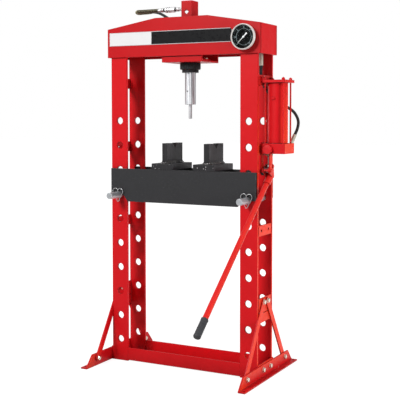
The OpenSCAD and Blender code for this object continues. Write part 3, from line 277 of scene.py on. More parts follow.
def turned_to(tree, place, scale=(1, 1, 1), shift=(0, 0, 0), turn=(0, 0, 0)):
    """The piece's own coordinates, moved, turned and stretched."""
    return add(tree, "Mapping", {"Vector": place.outputs["Object"], "Scale": scale, "Location": shift,
                                 "Rotation": turn}).outputs["Vector"]


def mapped(tree, value, low, high, to_low=0.0, to_high=1.0):
    """A value taken from one range to another and held inside it."""
    return add(tree, "MapRange", {"Value": value, "From Min": low, "From Max": high, "To Min": to_low,
                                  "To Max": to_high}).outputs["Result"]


def cloud(tree, where, scale, detail=3, low=0.35, high=0.65, to_low=0.0, to_high=1.0):
    """Noise spread between two levels."""
    return mapped(tree, noise(tree, where, scale, detail, 0.6), low, high, to_low, to_high)


def blend(tree, share, first, second, kind="MIX"):
    """Two colours mixed by a share."""
    node = tree.nodes.new("ShaderNodeMix")
    node.data_type = "RGBA"
    node.blend_type = kind
    for index, value in ((0, share), (6, first), (7, second)):
        if isinstance(value, bpy.types.NodeSocket):
            tree.links.new(value, node.inputs[index])
        else:
            node.inputs[index].default_value = value if index == 0 else (*value[:3], 1)
    return node.outputs[2]


def calc(tree, operation, first, second=0.0, clamp=False):
    """One sum on two numbers."""
    return add(tree, "Math", {0: first, 1: second}, operation=operation, use_clamp=clamp).outputs[0]


def times(tree, first, second, clamp=False):
    """The product of two numbers."""
    return calc(tree, "MULTIPLY", first, second, clamp)


def rounded_edges(tree, radius):
    """The normal with its edges rounded, and how near the surface is to an edge."""
    soft = add(tree, "Bevel", {"Radius": radius}, samples=4).outputs["Normal"]
    flat = add(tree, "NewGeometry").outputs["Normal"]
    same = add(tree, "VectorMath", {0: soft, 1: flat}, operation="DOT_PRODUCT").outputs["Value"]
    edge = mapped(tree, same, 0.995, 0.8)
    return soft, edge


def noise(tree, where, scale, detail=2, rough=0.5):
    """Plain noise."""
    made = add(tree, "TexNoise", {"Vector": where, "Scale": scale, "Detail": detail, "Roughness": rough})
    return made.outputs["Fac"]


def bump(tree, height, distance, normal, strength=1.0):
    """A bump on a normal."""
    return add(tree, "Bump", {"Height": height, "Distance": distance, "Normal": normal,
                              "Strength": strength}).outputs["Normal"]


def occluded(tree, reach, samples=4):
    """How much of the sky near the surface is covered, from 0 in the open to 1 in a corner."""
    seen = add(tree, "AmbientOcclusion", {"Distance": reach}, samples=samples).outputs["AO"]
    return mapped(tree, seen, 0.95, 0.25)


def enamel(name, colour, side, roughness=0.36, peel=0.00010, chips=0.35):
    """Semi-gloss enamel on steel, with painted light: a painted orange highlight on its low right sides and the
    feet's front tips, painted shade mixed with grime in its corners, and painted shade along its edges, where it is
    also worn.
    """
    tree, shader, place = start_finish(name)
    near = turned_to(tree, place)
    soft, edge = rounded_edges(tree, 0.0032)
    facing = add(tree, "SeparateXYZ", {0: place.outputs["Normal"]})
    apart = add(tree, "SeparateXYZ", {0: near})
    # Painted highlight: faces turned to the right, low down and toward the feet's front tips, take the side colour
    # that light from the right would give them
    to_side = mapped(tree, facing.outputs["X"], 0.45, 0.95)
    lower = mapped(tree, apart.outputs["Z"], 1.45, 1.10)
    off_floor = mapped(tree, apart.outputs["Z"], 0.012, 0.065)
    on_right = mapped(tree, apart.outputs["X"], -0.1, 0.1)
    at_tips = mapped(tree, apart.outputs["Y"], -0.17, -0.27)
    reached = calc(tree, "MAXIMUM", on_right, at_tips)
    raised = calc(tree, "MAXIMUM", off_floor, at_tips)
    height = times(tree, lower, raised)
    painted_side_light = times(tree, to_side, times(tree, reached, height))
    base = blend(tree, painted_side_light, colour, side)
    uneven = blend(tree, cloud(tree, near, 7, 4, 0.3, 0.7, 0.0, 0.25), base, (0.7, 0.5, 0.5), "MULTIPLY")
    # Painted shade with grime: the colour darkens where the surface is occluded, in corners and between parts, broken
    # into blotches
    grime_and_corner_shade = times(tree, occluded(tree, 0.09), cloud(tree, near, 24, 4, 0.3, 0.7, 0.45, 0.8))
    grimy_and_shaded = blend(tree, grime_and_corner_shade, uneven, (0.30, 0.16, 0.16), "MULTIPLY")
    # Painted shade with a little grime: the colour is darkened along the rounded edges
    edge_shaded = blend(tree, times(tree, edge, 0.55), grimy_and_shaded, (0.55, 0.45, 0.45), "MULTIPLY")
    speck = cloud(tree, near, 230, 4, 0.60, 0.64)
    worn = times(tree, times(tree, edge, speck, True), chips)
    scuff = cloud(tree, turned_to(tree, place, (90, 90, 9)), 3.0, 5, 0.70, 0.80, 0.0, 0.08)
    marks = calc(tree, "MAXIMUM", worn, scuff)
    feed(tree, shader, "Base Color", blend(tree, marks, edge_shaded, (0.20, 0.09, 0.08)))
    rough = cloud(tree, near, 55, 4, 0.3, 0.7, roughness - 0.05, roughness + 0.1)
    feed(tree, shader, "Roughness", calc(tree, "ADD", rough, times(tree, marks, 0.35), True))
    skin = bump(tree, noise(tree, near, 30), 0.0005, soft, 0.3)
    feed(tree, shader, "Normal", bump(tree, noise(tree, near, 420), peel, skin, 0.6))
    shader.inputs["Specular IOR Level"].default_value = 0.15


def rough_paint(name, colour, light, roughness=0.5, grit=0.00035, scratches=0.25, streak=(1, 1, 1), front=0.0,
                worn=(0.16, 0.155, 0.15)):
    """Dark satin paint over rough plate, streaked along its grain, with painted shade in its corners, on its front
    faces by the front share and near black in its notches, rubbed and lightened at its edges as wear and a painted
    highlight.
    """
    tree, shader, place = start_finish(name)
    near = turned_to(tree, place)
    soft, edge = rounded_edges(tree, 0.0026)
    facing = add(tree, "SeparateXYZ", {0: place.outputs["Normal"]})
    # Painted shade: the slanted notch faces are painted near black, where shade falls in them
    slanted = calc(tree, "ABSOLUTE", times(tree, facing.outputs["Y"], facing.outputs["Z"]))
    notch = mapped(tree, slanted, 0.2, 0.4, to_high=0.85)
    patches = cloud(tree, near, 14, 5, 0.3, 0.7, 0.0, 0.5)
    streaks = cloud(tree, turned_to(tree, place, streak), 90, 4, 0.42, 0.68, 0.0, 0.8)
    base = blend(tree, calc(tree, "MAXIMUM", patches, streaks), colour, light)
    # Painted shade: faces turned to the front are darkened by the front share
    front_shade = mapped(tree, facing.outputs["Y"], -0.5, -0.9, to_high=front)
    front_shaded = blend(tree, front_shade, base, (0.45, 0.45, 0.45), "MULTIPLY")
    # Painted shade: darker where the surface is occluded, in corners and under other parts
    dark = blend(tree, times(tree, occluded(tree, 0.05), 0.75), front_shaded, (0.25, 0.24, 0.25), "MULTIPLY")
    lines = cloud(tree, turned_to(tree, place, (6, 60, 90), turn=(0.3, 0.1, 0.4)), 6, 3, 0.70, 0.74, 0.0, scratches)
    # Wear and painted highlight: the edges are lightened toward the worn colour
    rubbed_and_lit_edge = times(tree, edge, cloud(tree, near, 9, 4, 0.42, 0.62, 0.0, 0.75), True)
    marks = calc(tree, "MAXIMUM", rubbed_and_lit_edge, lines)
    notch_shaded = blend(tree, notch, dark, (0.002, 0.002, 0.002))
    feed(tree, shader, "Base Color", blend(tree, marks, notch_shaded, worn))
    feed(tree, shader, "Roughness", cloud(tree, near, 90, 4, 0.3, 0.7, roughness - 0.1, roughness + 0.12))
    feed(tree, shader, "Normal", bump(tree, noise(tree, near, 160, 5, 0.65), grit, soft, 0.6))
    shader.inputs["Specular IOR Level"].default_value = 0.15


def metal(name, colour, shade, grain=(1, 1, 1), grain_scale=300, roughness=0.28, spread=0.1, marks=0.4, depth=0.00003,
          bevel=0.0006, ends=0.0, streak=0.22):
    """Bare or plated metal with a machined grain, stains and dull patches, with painted shade on its front faces by
    the ends share; on the hard chrome its dark streaks are also painted reflection bands.
    """
    tree, shader, place = start_finish(name)
    near = turned_to(tree, place)
    along = turned_to(tree, place, grain)
    soft = rounded_edges(tree, bevel)[0]
    stain = cloud(tree, near, 22, 5, 0.42, 0.72, 0.0, marks)
    tone = blend(tree, stain, colour, shade)
    lines = noise(tree, along, grain_scale, 4, 0.6)
    # On the hard chrome these streaks run at full strength toward a near-black shade: wear and painted reflection
    # bands
    streaks = mapped(tree, lines, 0.35, 0.7, to_high=streak)
    brushed = blend(tree, streaks, tone, shade)
    facing = add(tree, "SeparateXYZ", {0: place.outputs["Normal"]})
    # Painted shade: faces turned to the front, such as the pins' ends, are darkened by the ends share
    end_shade = mapped(tree, facing.outputs["Y"], -0.6, -0.9, to_high=ends)
    front_shaded = blend(tree, end_shade, brushed, (0.40, 0.40, 0.40), "MULTIPLY")
    feed(tree, shader, "Base Color", front_shaded)
    shader.inputs["Metallic"].default_value = 1.0
    rough = mapped(tree, lines, 0.3, 0.7, roughness - spread / 2, roughness + spread)
    feed(tree, shader, "Roughness", calc(tree, "ADD", rough, times(tree, stain, 0.2), True))
    feed(tree, shader, "Normal", bump(tree, lines, depth, soft, 0.6))


def rubber(name, colour, roughness=0.55, grain=(1, 1, 1), scale=500, depth=0.0001, shine=0.2):
    """Matt rubber or moulded plastic with a fine grain and a little dust."""
    tree, shader, place = start_finish(name)
    near = turned_to(tree, place)
    soft, edge = rounded_edges(tree, 0.0008)
    pale = tuple(min(1, value * 1.5 + 0.02) for value in colour)
    patches = blend(tree, cloud(tree, near, 40, 4, 0.3, 0.75, 0.0, 0.6), colour, pale)
    feed(tree, shader, "Base Color", blend(tree, times(tree, edge, 0.5), patches, pale))
    feed(tree, shader, "Roughness", cloud(tree, near, 70, 3, 0.3, 0.7, roughness - 0.08, roughness + 0.1))
    fine = noise(tree, turned_to(tree, place, grain), scale)
    feed(tree, shader, "Normal", bump(tree, fine, depth, soft, 0.7))
    shader.inputs["Specular IOR Level"].default_value = shine


def plain_film(name, white, black, edge_x, low, high):
    """The bare two-tone plate: white on the left, black on the right, with a thin grey border line."""
    tree, shader, place = start_finish(name)
    near = turned_to(tree, place)
    apart = add(tree, "SeparateXYZ", {0: near})
    right = calc(tree, "GREATER_THAN", apart.outputs["X"], edge_x)
    fine = cloud(tree, near, 25, 4, 0.3, 0.7, 0.0, 0.1)
    pale = blend(tree, fine, white, (0.6, 0.6, 0.6))
    dark = blend(tree, fine, black, (0.03, 0.03, 0.03))
    tones = blend(tree, right, pale, dark)
    rim = 0.0026
    left_of = calc(tree, "LESS_THAN", apart.outputs["X"], low.x + rim)
    right_of = calc(tree, "GREATER_THAN", apart.outputs["X"], high.x - rim)
    under = calc(tree, "LESS_THAN", apart.outputs["Z"], low.z + rim)
    over = calc(tree, "GREATER_THAN", apart.outputs["Z"], high.z - rim)
    border = calc(tree, "MAXIMUM", calc(tree, "MAXIMUM", left_of, right_of), calc(tree, "MAXIMUM", under, over))
    feed(tree, shader, "Base Color", blend(tree, border, tones, (0.55, 0.55, 0.56)))
    feed(tree, shader, "Roughness", cloud(tree, near, 60, 3, 0.3, 0.7, 0.24, 0.38))
    ripple = noise(tree, near, 12)
    flat = add(tree, "NewGeometry").outputs["Normal"]
    feed(tree, shader, "Normal", bump(tree, ripple, 0.0008, flat, 0.3))
    shader.inputs["Specular IOR Level"].default_value = 0.1


def hose_cover(name, colour):
    """Black hose cover with a fine wrapped-cloth mark, drawn along the hose by its own UV map."""
    tree, shader, place = start_finish(name)
    wrap = add(tree, "Mapping", {"Vector": place.outputs["UV"], "Scale": (1, 1, 1)}).outputs["Vector"]
    weave = add(tree, "TexWave", {"Vector": wrap, "Scale": 60, "Distortion": 0.4, "Detail": 1},
                wave_type="BANDS", bands_direction="DIAGONAL").outputs["Fac"]
    near = turned_to(tree, place)
    pale = tuple(value * 2 + 0.02 for value in colour)
    dusty = blend(tree, cloud(tree, near, 45, 5, 0.4, 0.8, 0.0, 0.5), colour, pale)
    feed(tree, shader, "Base Color", dusty)
    feed(tree, shader, "Roughness", cloud(tree, near, 60, 3, 0.3, 0.7, 0.34, 0.5))
    flat = add(tree, "NewGeometry").outputs["Normal"]
    feed(tree, shader, "Normal", bump(tree, weave, 0.0002, flat, 0.4))
    shader.inputs["Specular IOR Level"].default_value = 0.3


def clear_glass(name):
    """A clear window with a faint smear."""
    tree, shader, place = start_finish(name)
    near = turned_to(tree, place)
    shader.inputs["Transmission Weight"].default_value = 1.0
    shader.inputs["IOR"].default_value = 1.06
    feed(tree, shader, "Roughness", cloud(tree, near, 40, 4, 0.4, 0.8, 0.0, 0.08))
    colour_in = blend(tree, cloud(tree, near, 30, 2, 0.3, 0.7, 0.0, 0.2), (0.98, 0.99, 0.99), (0.9, 0.93, 0.93))
    feed(tree, shader, "Base Color", colour_in)


def seen_rays(tree):
    """One for the rays that the camera, metal or glass sends, and nothing for the rest."""
    path = add(tree, "LightPath")
    either = calc(tree, "MAXIMUM", path.outputs["Is Camera Ray"], path.outputs["Is Glossy Ray"])
    return calc(tree, "MAXIMUM", either, path.outputs["Is Transmission Ray"])


# ---- Settings ----

def colour_setting(name, description, default):
    """A colour that a user can change."""
    return bpy.props.FloatVectorProperty(
        name=name, description=description, subtype="COLOR", default=default, min=0, max=1)


def length_setting(name, description, default, low, high):
    """A length that a user can change."""
    return bpy.props.FloatProperty(
        name=name, description=description, default=default, min=low, max=high, unit="LENGTH")


def number_setting(name, description, default, low, high):
    """A whole number that a user can change."""
    return bpy.props.IntProperty(name=name, description=description, default=default, min=low, max=high)


class PressFinishes(bpy.types.PropertyGroup):
    """Colours that a user would change."""

    red: colour_setting("Frame", "Enamel on the frame's front faces", (0.68, 0.0080, 0.0125))
    # The frame-side colour is painted light: the orange that light from the right gives the low right-facing faces
    red_side: colour_setting("Frame sides", "Enamel on the faces turned to the right", (0.88, 0.046, 0.016))
    bed: colour_setting("Bed", "Paint on the bed plates", (0.026, 0.026, 0.028))
    blocks: colour_setting("Press blocks", "Paint on the press blocks", (0.035, 0.034, 0.037))
    grip: colour_setting("Grip", "Rubber of the handle grip", (0.033, 0.034, 0.038))
    guard: colour_setting("Hose guard", "Passivated wire of the spring guard", (0.30, 0.27, 0.17))
    hose: colour_setting("Hose", "Cover of the hose", (0.012, 0.012, 0.013))


class PressDetails(bpy.types.PropertyGroup):
    """Sizes that a user would change."""

    hose_width: length_setting("Hose width", "Outer diameter of the hose", 0.014, 0.012, 0.0144)
    guard_wire: length_setting("Guard wire", "Diameter of the spring guard's wire", 0.0015, 0.001, 0.002)
    guard_pitch: length_setting("Guard pitch", "Distance between the guard's turns", 0.0034, 0.0025, 0.008)
    weld_width: length_setting("Weld width", "Radius of the frame's weld beads", 0.0032, 0.002, 0.005)
    bolt_flats: length_setting("Bolt size", "Width across flats of the frame bolts", 0.019, 0.017, 0.0215)
    dial_top: number_setting("Dial end", "Last number on the dial", 60, 10, 100)
    dial_step: number_setting("Dial step", "Step between the dial's numbers", 10, 5, 20)
    knob_flutes: number_setting("Knob flutes", "Flutes round the release knob", 12, 6, 20)


def finishes():
    """The colours in use."""
    return bpy.context.scene.press_finishes


def details():
    """The sizes in use."""
    return bpy.context.scene.press_details


# ---- Operators ----

class PRESS_OT_camera(bpy.types.Operator):
    """Place the camera in front of the press, a little to its right"""

    bl_idname = "press.camera"
    bl_label = "Camera"

    def execute(self, context):
        lens = bpy.data.cameras.new("camera")
        lens.lens = 80.86
        lens.sensor_width = 36
        lens.shift_x = -0.0228
        lens.shift_y = -0.10
        camera = bpy.data.objects.new("camera", lens)
        camera.location = (2.0647, -3.8002, 1.2183)
        camera.rotation_euler = (math.radians(90 - 2.919), 0, math.radians(27.325))
        context.scene.collection.objects.link(camera)
        context.scene.camera = camera
        return {"FINISHED"}


class PRESS_OT_finishes(bpy.types.Operator):
    """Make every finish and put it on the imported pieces"""

    bl_idname = "press.finishes"
    bl_label = "Finishes"

    def execute(self, context):
        tones = finishes()
        low, high = corners("head_panel")
        # In each enamel the second colour is a painted orange highlight for the faces turned to the right
        enamel("red enamel", tones.red, tones.red_side)
        # Painted shade: the head, its carrier and its top bracket get a darker copy of the frame red
        enamel("shaded head enamel", tuple(value * 0.8 for value in tones.red), tones.red_side)
        enamel("handle enamel", (0.70, 0.020, 0.018), (0.76, 0.036, 0.022), 0.3)
        enamel("rod enamel", (0.74, 0.014, 0.018), (0.80, 0.040, 0.020), 0.22)
        # The bed's pale worn colour paints a highlight along the plates' edges as well as wear
        rough_paint("bed paint", tones.bed, tuple(value * 1.35 for value in tones.bed), 0.5, 0.0003, 0.15,
                    worn=(0.42, 0.40, 0.39))
        # The block paint's front share of 0.9 paints shade onto the blocks' front faces
        rough_paint("block paint", tones.blocks, tuple(value * 1.9 for value in tones.blocks), 0.4, 0.0006, 0.2,
                    (1, 1, 0.05), 0.9)
        rough_paint("black oxide", (0.011, 0.011, 0.012), (0.03, 0.03, 0.032), 0.4, 0.0002, 0.2)
        rough_paint("weld on paint", (0.50, 0.010, 0.013), (0.34, 0.008, 0.010), 0.4, 0.0004, 0.0)
        metal("weld on block", (0.13, 0.125, 0.125), (0.02, 0.02, 0.02), (1, 1, 1), 120, 0.36, 0.2, 1.0, 0.0004)
        metal("spatter", (0.40, 0.38, 0.39), (0.15, 0.15, 0.15), (1, 1, 1), 120, 0.22, 0.1, 0.5, 0.0001)
        metal("zinc plating", (0.84, 0.80, 0.70), (0.34, 0.30, 0.22), (1, 1, 1), 260, 0.2, 0.1)
        metal("bright steel", (0.44, 0.44, 0.45), (0.24, 0.23, 0.22), (1, 24, 1), 60, 0.26, 0.12)
        # The pin steel's ends share of 0.9 paints shade onto the pins' front ends
        metal("pin steel", (0.70, 0.73, 0.76), (0.42, 0.42, 0.42), (1, 24, 1), 60, 0.5, 0.12, ends=0.9)
        metal("rod steel", (0.50, 0.50, 0.52), (0.26, 0.25, 0.25), (1, 1, 24), 60, 0.44, 0.12)
        metal("dull steel", (0.25, 0.24, 0.23), (0.12, 0.11, 0.10), (1, 1, 8), 120, 0.42, 0.12)
        # Painted reflection with wear: the hard chrome's near-black lengthwise streaks copy reflection bands
        metal("hard chrome", (0.86, 0.87, 0.89), (0.05, 0.05, 0.07), (1, 1, 0.02), 160, 0.42, 0.05, 0.1, 0.0,
              streak=1.0)
        metal("gauge metal", (0.90, 0.89, 0.86), (0.68, 0.66, 0.62), (1, 30, 1), 40, 0.16, 0.08, 0.15, 0.00001)
        metal("coupler plating", (0.80, 0.80, 0.81), (0.42, 0.41, 0.40), (1, 20, 20), 60, 0.34, 0.1, 0.5)
        metal("yellow passivate", tones.guard, tuple(value * 0.4 for value in tones.guard), (1, 1, 1), 200, 0.36,
              0.14)
        metal("cream plating", (0.62, 0.59, 0.50), (0.34, 0.30, 0.22), (1, 1, 1), 160, 0.32, 0.14)
        rubber("seal rubber", (0.012, 0.012, 0.012))
        rubber("grip rubber", tones.grip, 0.5, (1, 1, 1), 420, 0.0002)
        rubber("dial black", (0.005, 0.006, 0.006), 0.6, (1, 1, 1), 900, 0.00003, 0.02)
        rubber("dial white", (0.85, 0.85, 0.83), 0.45, (1, 1, 1), 900, 0.00002)
        rubber("dial ink", (0.30, 0.37, 0.40), 0.45, (1, 1, 1), 900, 0.00002)
        rubber("knob red", (0.56, 0.008, 0.012), 0.4, (1, 1, 1), 300, 0.00006)
        rubber("bezel white", (0.62, 0.59, 0.57), 0.3, (1, 1, 1), 200, 0.00003)
        hose_cover("hose cover", tones.hose)
        plain_film("two-tone film", (0.80, 0.80, 0.80), (0.006, 0.006, 0.007), -0.160, low, high)
        clear_glass("clear glass")
        wanted = {
            "red enamel": "upright_front_left upright_front_right upright_rear_left upright_rear_right tie_plates "
                          "head_end_plates base_channel foot_left foot_right braces_left braces_right pump_block "
                          "reservoir_tube reservoir_lid fulcrum_links cylinder_barrel",
            "shaded head enamel": "head_front_plate head_rear_plate ram_carrier top_bracket",
            "handle enamel": "lever_socket handle_tube",
            "bed paint": "bed_front_plate bed_rear_plate bed_spacers",
            "block paint": "vblock_left vblock_right",
            "rod enamel": "tie_rods fulcrum_pin plunger_pin",
            "black oxide": "lock_collar gland_nut",
            "zinc plating": "frame_fasteners",
            "pin steel": "bed_pin_left bed_pin_right",
            "bright steel": "pin_clip_left pin_clip_right gauge_pipe",
            "rod steel": "press_pin piston_head inlet_elbow",
            "dull steel": "return_spring pump_plunger",
            "hard chrome": "piston_rod ram_nose",
            "gauge metal": "gauge_case",
            "bezel white": "gauge_bezel",
            "coupler plating": "hose_coupler",
            "yellow passivate": "hose_guard plunger_gland",
            "cream plating": "hose_fitting hose_joiner",
            "hose cover": "hose",
            "seal rubber": "piston_seal",
            "grip rubber": "handle_grip",
            "dial black": "gauge_dial",
            "dial white": "gauge_needle",
            "knob red": "release_knob",
            "two-tone film": "head_panel",
            "clear glass": "gauge_lens",
        }
        done = set()
        for finish, nodes in wanted.items():
            for node in nodes.split():
                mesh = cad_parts[node].data
                mesh.materials.clear()
                mesh.materials.append(bpy.data.materials[finish])
                done.add(node)
        missing = sorted(set(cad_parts) - done)
        if missing:
            raise RuntimeError(f"no finish for {missing}")
        return {"FINISHED"}


class PRESS_OT_hose(bpy.types.Operator):
    """Lay the hose and wind its spring guard"""

    bl_idname = "press.hose"
    bl_label = "Hose and guard"

    def execute(self, context):
        sizes = details()
        route = rounded_line(HOSE_ROUTE, 4)
        shape = swept(route, sizes.hose_width / 2, 4)
        hose = make("hose_line", shape, "hose cover", "frame", 60, instead="hose")
        guard = make("guard_coil", self.coil(sizes), "yellow passivate", "frame", 60,
                     instead="hose_guard")
        return {"FINISHED"}

    def coil(self, sizes):
        """The guard's wire, wound round the covered end of the hose."""
        line = rounded_line(HOSE_ROUTE[GUARD_FIRST:], 12)
        radius = sizes.hose_width / 2 + sizes.guard_wire / 2 + 0.0005
        turn = 0.0
        side = Vector((0, 0, 1))
        points = []
        for start, end in zip(line, line[1:]):
            along = (end - start).normalized()
            side = (side - side.dot(along) * along).normalized()
            across = along.cross(side)
            steps = max(1, round((end - start).length / sizes.guard_pitch * 9))
            for step in range(steps):
                centre = start.lerp(end, step / steps)
                points.append(centre + radius * (math.cos(turn) * side + math.sin(turn) * across))
                turn += math.tau * (end - start).length / steps / sizes.guard_pitch
        return swept(points, sizes.guard_wire / 2, 0)


class PRESS_OT_fasteners(bpy.types.Operator):
    """Make the frame's bolts, washers and nuts"""

    bl_idname = "press.fasteners"
    bl_label = "Frame bolts"

    def execute(self, context):
        flats = details().bolt_flats
        side_x = corners("upright_front_right")[1].x
        whole = bmesh.new()
        foot_z, brace_z, pump_z, flange_top = 0.037, 0.350, 1.0558, 1.482
        bar_thickness, washer, head = 0.006, 0.0014, 0.008
        stacks = [(y, foot_z, side_x + 0.012) for y in (-0.217, -0.040, 0.040, 0.217)]
        stacks += [(y, brace_z, side_x + bar_thickness) for y in (-0.022, 0.022)]
        for side in (1, -1):
            for index, (y, z, face) in enumerate(stacks):
                inside = side_x if z == foot_z else side_x - bar_thickness
                turn = Matrix.Rotation(0.37 * index + side, 4, "Z")
                outward = Matrix.Scale(side, 4, (1, 0, 0)) @ at(0, y, z) @ SPIN_X
                join(whole, ring(0.004, 0.0118, 0, washer, 0.0004, 24), outward @ at(0, 0, face))
                join(whole, prism(flats, head - washer), outward @ at(0, 0, face + washer) @ turn)
                join(whole, turned([(0, 0), (0.0078, 0), (0.0078, 0.0005), (0, 0.0005)], 24),
                     outward @ at(0, 0, face + 0.0076))
                join(whole, prism(flats, 0.010), outward @ at(0, 0, inside - 0.010) @ turn)
                join(whole, threaded(0.006, -0.0035, 0.0, 0.00175), outward @ at(0, 0, inside - 0.0095))
        for y in (-0.030, 0.030):
            join(whole, prism(flats, head), at(side_x - bar_thickness - head, y, pump_z) @ SPIN_X)
        for x in (-0.060, 0.060):
            for y in (-0.050, 0.050):
                join(whole, prism(flats, head), at(x, y, flange_top))
        make("frame_bolts", facing_out(whole), "zinc plating", "frame", instead="frame_fasteners")
        return {"FINISHED"}


class PRESS_OT_welds(bpy.types.Operator):
    """Lay the weld beads on the frame, the head, the base and the pump"""

    bl_idname = "press.welds"
    bl_label = "Frame welds"

    def execute(self, context):
        radius = details().weld_width
        bar_width, bar_thickness, sunk = 0.087, 0.006, 0.0005
        tie_spans = ((0.2555, 0.2965), (0.301, 0.368), (0.659, 0.707), (1.032, 1.037), (1.3475, 1.3955))
        side_x = corners("upright_front_right")[1].x
        inner_y, plate_y = (corner.y for corner in corners("upright_rear_right"))
        head_low, head_high = corners("head_end_plates")
        carrier_low, carrier_high = corners("ram_carrier")
        block_low, block_high = corners("pump_block")
        base_top = corners("base_channel")[1].z
        beads = []
        for low, high in tie_spans:
            for side in (1, -1):
                for back in (1, -1):
                    y = back * (inner_y - 0.0008)
                    for x in (side * (side_x - 0.0004), side * (side_x - bar_thickness - 0.0006)):
                        beads.append(((x, y, low), (x, y, high), radius * 0.8))
        for x in (head_low.x + 0.0006, head_high.x - 0.0006):
            for back in (1, -1):
                y = back * (plate_y - 0.0004)
                beads.append(((x, y, head_low.z + 0.003), (x, y, head_high.z - 0.003), radius * 0.7))
        for back in (1, -1):
            y, z = back * (plate_y - sunk), head_low.z - 0.0008
            beads.append(((carrier_low.x + 0.002, y, z), (carrier_high.x - 0.002, y, z), radius))
        for side in (1, -1):
            for back in (1, -1):
                x, y = side * (side_x - bar_width - sunk), back * (plate_y - sunk) * 0.93
                beads.append(((x, y, 0.008), (x, y, base_top - 0.003), radius * 0.8))
        for z in (block_low.z - sunk, block_high.z + sunk):
            x = side_x + 0.0006
            beads.append(((x, block_low.y + 0.004, z), (x, block_high.y - 0.004, z), radius))
        whole = bmesh.new()
        for seed, (start, end, width) in enumerate(beads, 1):
            join(whole, weld(start, end, width, seed))
        make("frame_welds", whole, "weld on paint", "frame", 60)
        return {"FINISHED"}


class PRESS_OT_block_welds(bpy.types.Operator):
    """Lay the rough weld beads on the two press blocks"""

    bl_idname = "press.block_welds"
    bl_label = "Press block welds"

    def execute(self, context):
        foot, off_centre, bead, ripple = 0.029, 0.0025, 0.0050, 0.0062
        half_length, half_width, drop_count, front_drops, side_drops = 0.075, 0.015, 22, 7, 10
        whole, drops = bmesh.new(), bmesh.new()
        for seed, node in enumerate(("vblock_left", "vblock_right")):
            low, high = corners(node)
            foot_top, centre_x = low.z + foot, (low.x + high.x) / 2 + off_centre
            for side in (1, -1):
                for lift in (0, 1):
                    x = centre_x + side * (0.0145 + 0.0055 * (1 - lift))
                    z = foot_top + 0.0022 + bead * lift
                    number = 10 * seed + 3 * lift + side
                    join(whole, weld((x, -half_length, z), (x, half_length, z), bead, number, ripple))
            z = foot_top + 0.002
            for y in (-half_length - 0.0012, half_length + 0.0012):
                ends = (centre_x - half_width, y, z), (centre_x + half_width, y, z)
                join(whole, weld(*ends, bead, 40 + seed, ripple))
            chance = random.Random(70 + seed)
            for drop in range(drop_count):
                width = chance.uniform(0.0014, 0.0036)
                dome = turned([(0, 0.9 * width), (0.6 * width, 0.7 * width), (width, 0.0), (0, -0.0004)], 12)
                z = foot_top + chance.uniform(0.001, 0.007)
                if drop < front_drops:
                    place = at(centre_x + chance.uniform(-0.018, 0.018), -0.0795, z) @ FORWARD
                elif drop < front_drops + side_drops:
                    place = at(centre_x + 0.024, chance.uniform(-0.07, 0.07), z - 0.002) @ SPIN_X
                else:
                    place = at(chance.uniform(low.x + 0.004, high.x - 0.004), low.y,
                               chance.uniform(low.z + 0.004, foot_top - 0.003)) @ FORWARD
                join(drops, dome, place)
        make("block_spatter", drops, "spatter", "bed", 60)
        make("block_weld_beads", whole, "weld on block", "bed", 60)
        return {"FINISHED"}


class PRESS_OT_gauge(bpy.types.Operator):
    """Print the dial and roll the bezel"""

    bl_idname = "press.gauge"
    bl_label = "Gauge"

    def execute(self, context):
        sizes = details()
        hub = middle("gauge_dial")
        face = corners("gauge_dial")[0].y - 0.0003
        front, back = (corner.y for corner in corners("gauge_bezel"))
        first, sweep, tick_end, figures_at, half = math.radians(225), math.radians(270), 0.0510, 0.0417, 0.00015
        lip = turned([
            (0.0535, front + 0.0065), (0.0538, front + 0.0014), (0.0545, front + 0.0004), (0.0556, front),
            (0.0570, front + 0.0006), (0.0582, front + 0.0020), (0.0589, front + 0.0042), (0.0590, front + 0.0075),
            (0.0585, front + 0.0090), (0.0590, front + 0.0105), (0.0590, back - 0.001), (0.0582, back),
            (0.0562, back), (0.0562, front + 0.0065), (0.0535, front + 0.0065)], 96)
        lip.transform(at(hub.x, 0, hub.z) @ FORWARD @ Matrix.Scale(-1, 4, (0, 0, 1)))
        make("bezel_ring", facing_out(lip), "bezel white", "frame", instead="gauge_bezel")
        print_shape = bmesh.new()
        steps = sizes.dial_top // 2
        for step in range(steps + 1):
            turn = first - sweep * step / steps
            main = step * 2 % sizes.dial_step == 0
            reach, width = (0.0052, 0.0006) if main else (0.0030, 0.00035)
            tick = slab((-width, -half, tick_end - reach), (width, half, tick_end), 0.00002)
            join(print_shape, tick, at(hub.x, face, hub.z) @ Matrix.Rotation(-(turn - math.pi / 2), 4, "Y"))
        band = ring(0.0368, 0.0376, -half, half, 0.00003, 96)
        join(print_shape, band, at(hub.x, face, hub.z) @ SPIN_Y)
        for number in range(0, sizes.dial_top + 1, sizes.dial_step):
            turn = first - sweep * number / sizes.dial_top
            place = at(hub.x + figures_at * math.cos(turn), face, hub.z + figures_at * math.sin(turn))
            join(print_shape, self.digits(str(number)), place)
        make("dial_print", print_shape, "dial ink", "frame")
        return {"FINISHED"}

    def digits(self, text):
        """Flat figures, upright on the dial."""
        curve = bpy.data.curves.new("figures", "FONT")
        curve.body = text
        curve.size = 0.0078
        curve.align_x = "CENTER"
        curve.align_y = "CENTER"
        curve.extrude = 0.0001
        shape = shape_of(curve)
        shape.transform(FORWARD)
        return shape


class PRESS_OT_collar(bpy.types.Operator):
    """Cut the notches in the lock collar"""

    bl_idname = "press.collar"
    bl_label = "Lock collar"

    def execute(self, context):
        low, high = corners("lock_collar")
        outer, inner, teeth = high.x, 0.04256, 24
        whole = bmesh.new()
        join(whole, ring(inner, outer - 0.0016, low.z, high.z, 0.001, 96))
        for index in range(teeth):
            turn = Matrix.Rotation(math.tau * index / teeth, 4, "Z")
            tooth = slab((outer - 0.004, -0.0042, low.z + 0.004), (outer - 0.0003, 0.0042, high.z - 0.004), 0.0007)
            join(whole, tooth, turn)
        make("collar_notched", whole, "black oxide", "frame", instead="lock_collar")
        return {"FINISHED"}


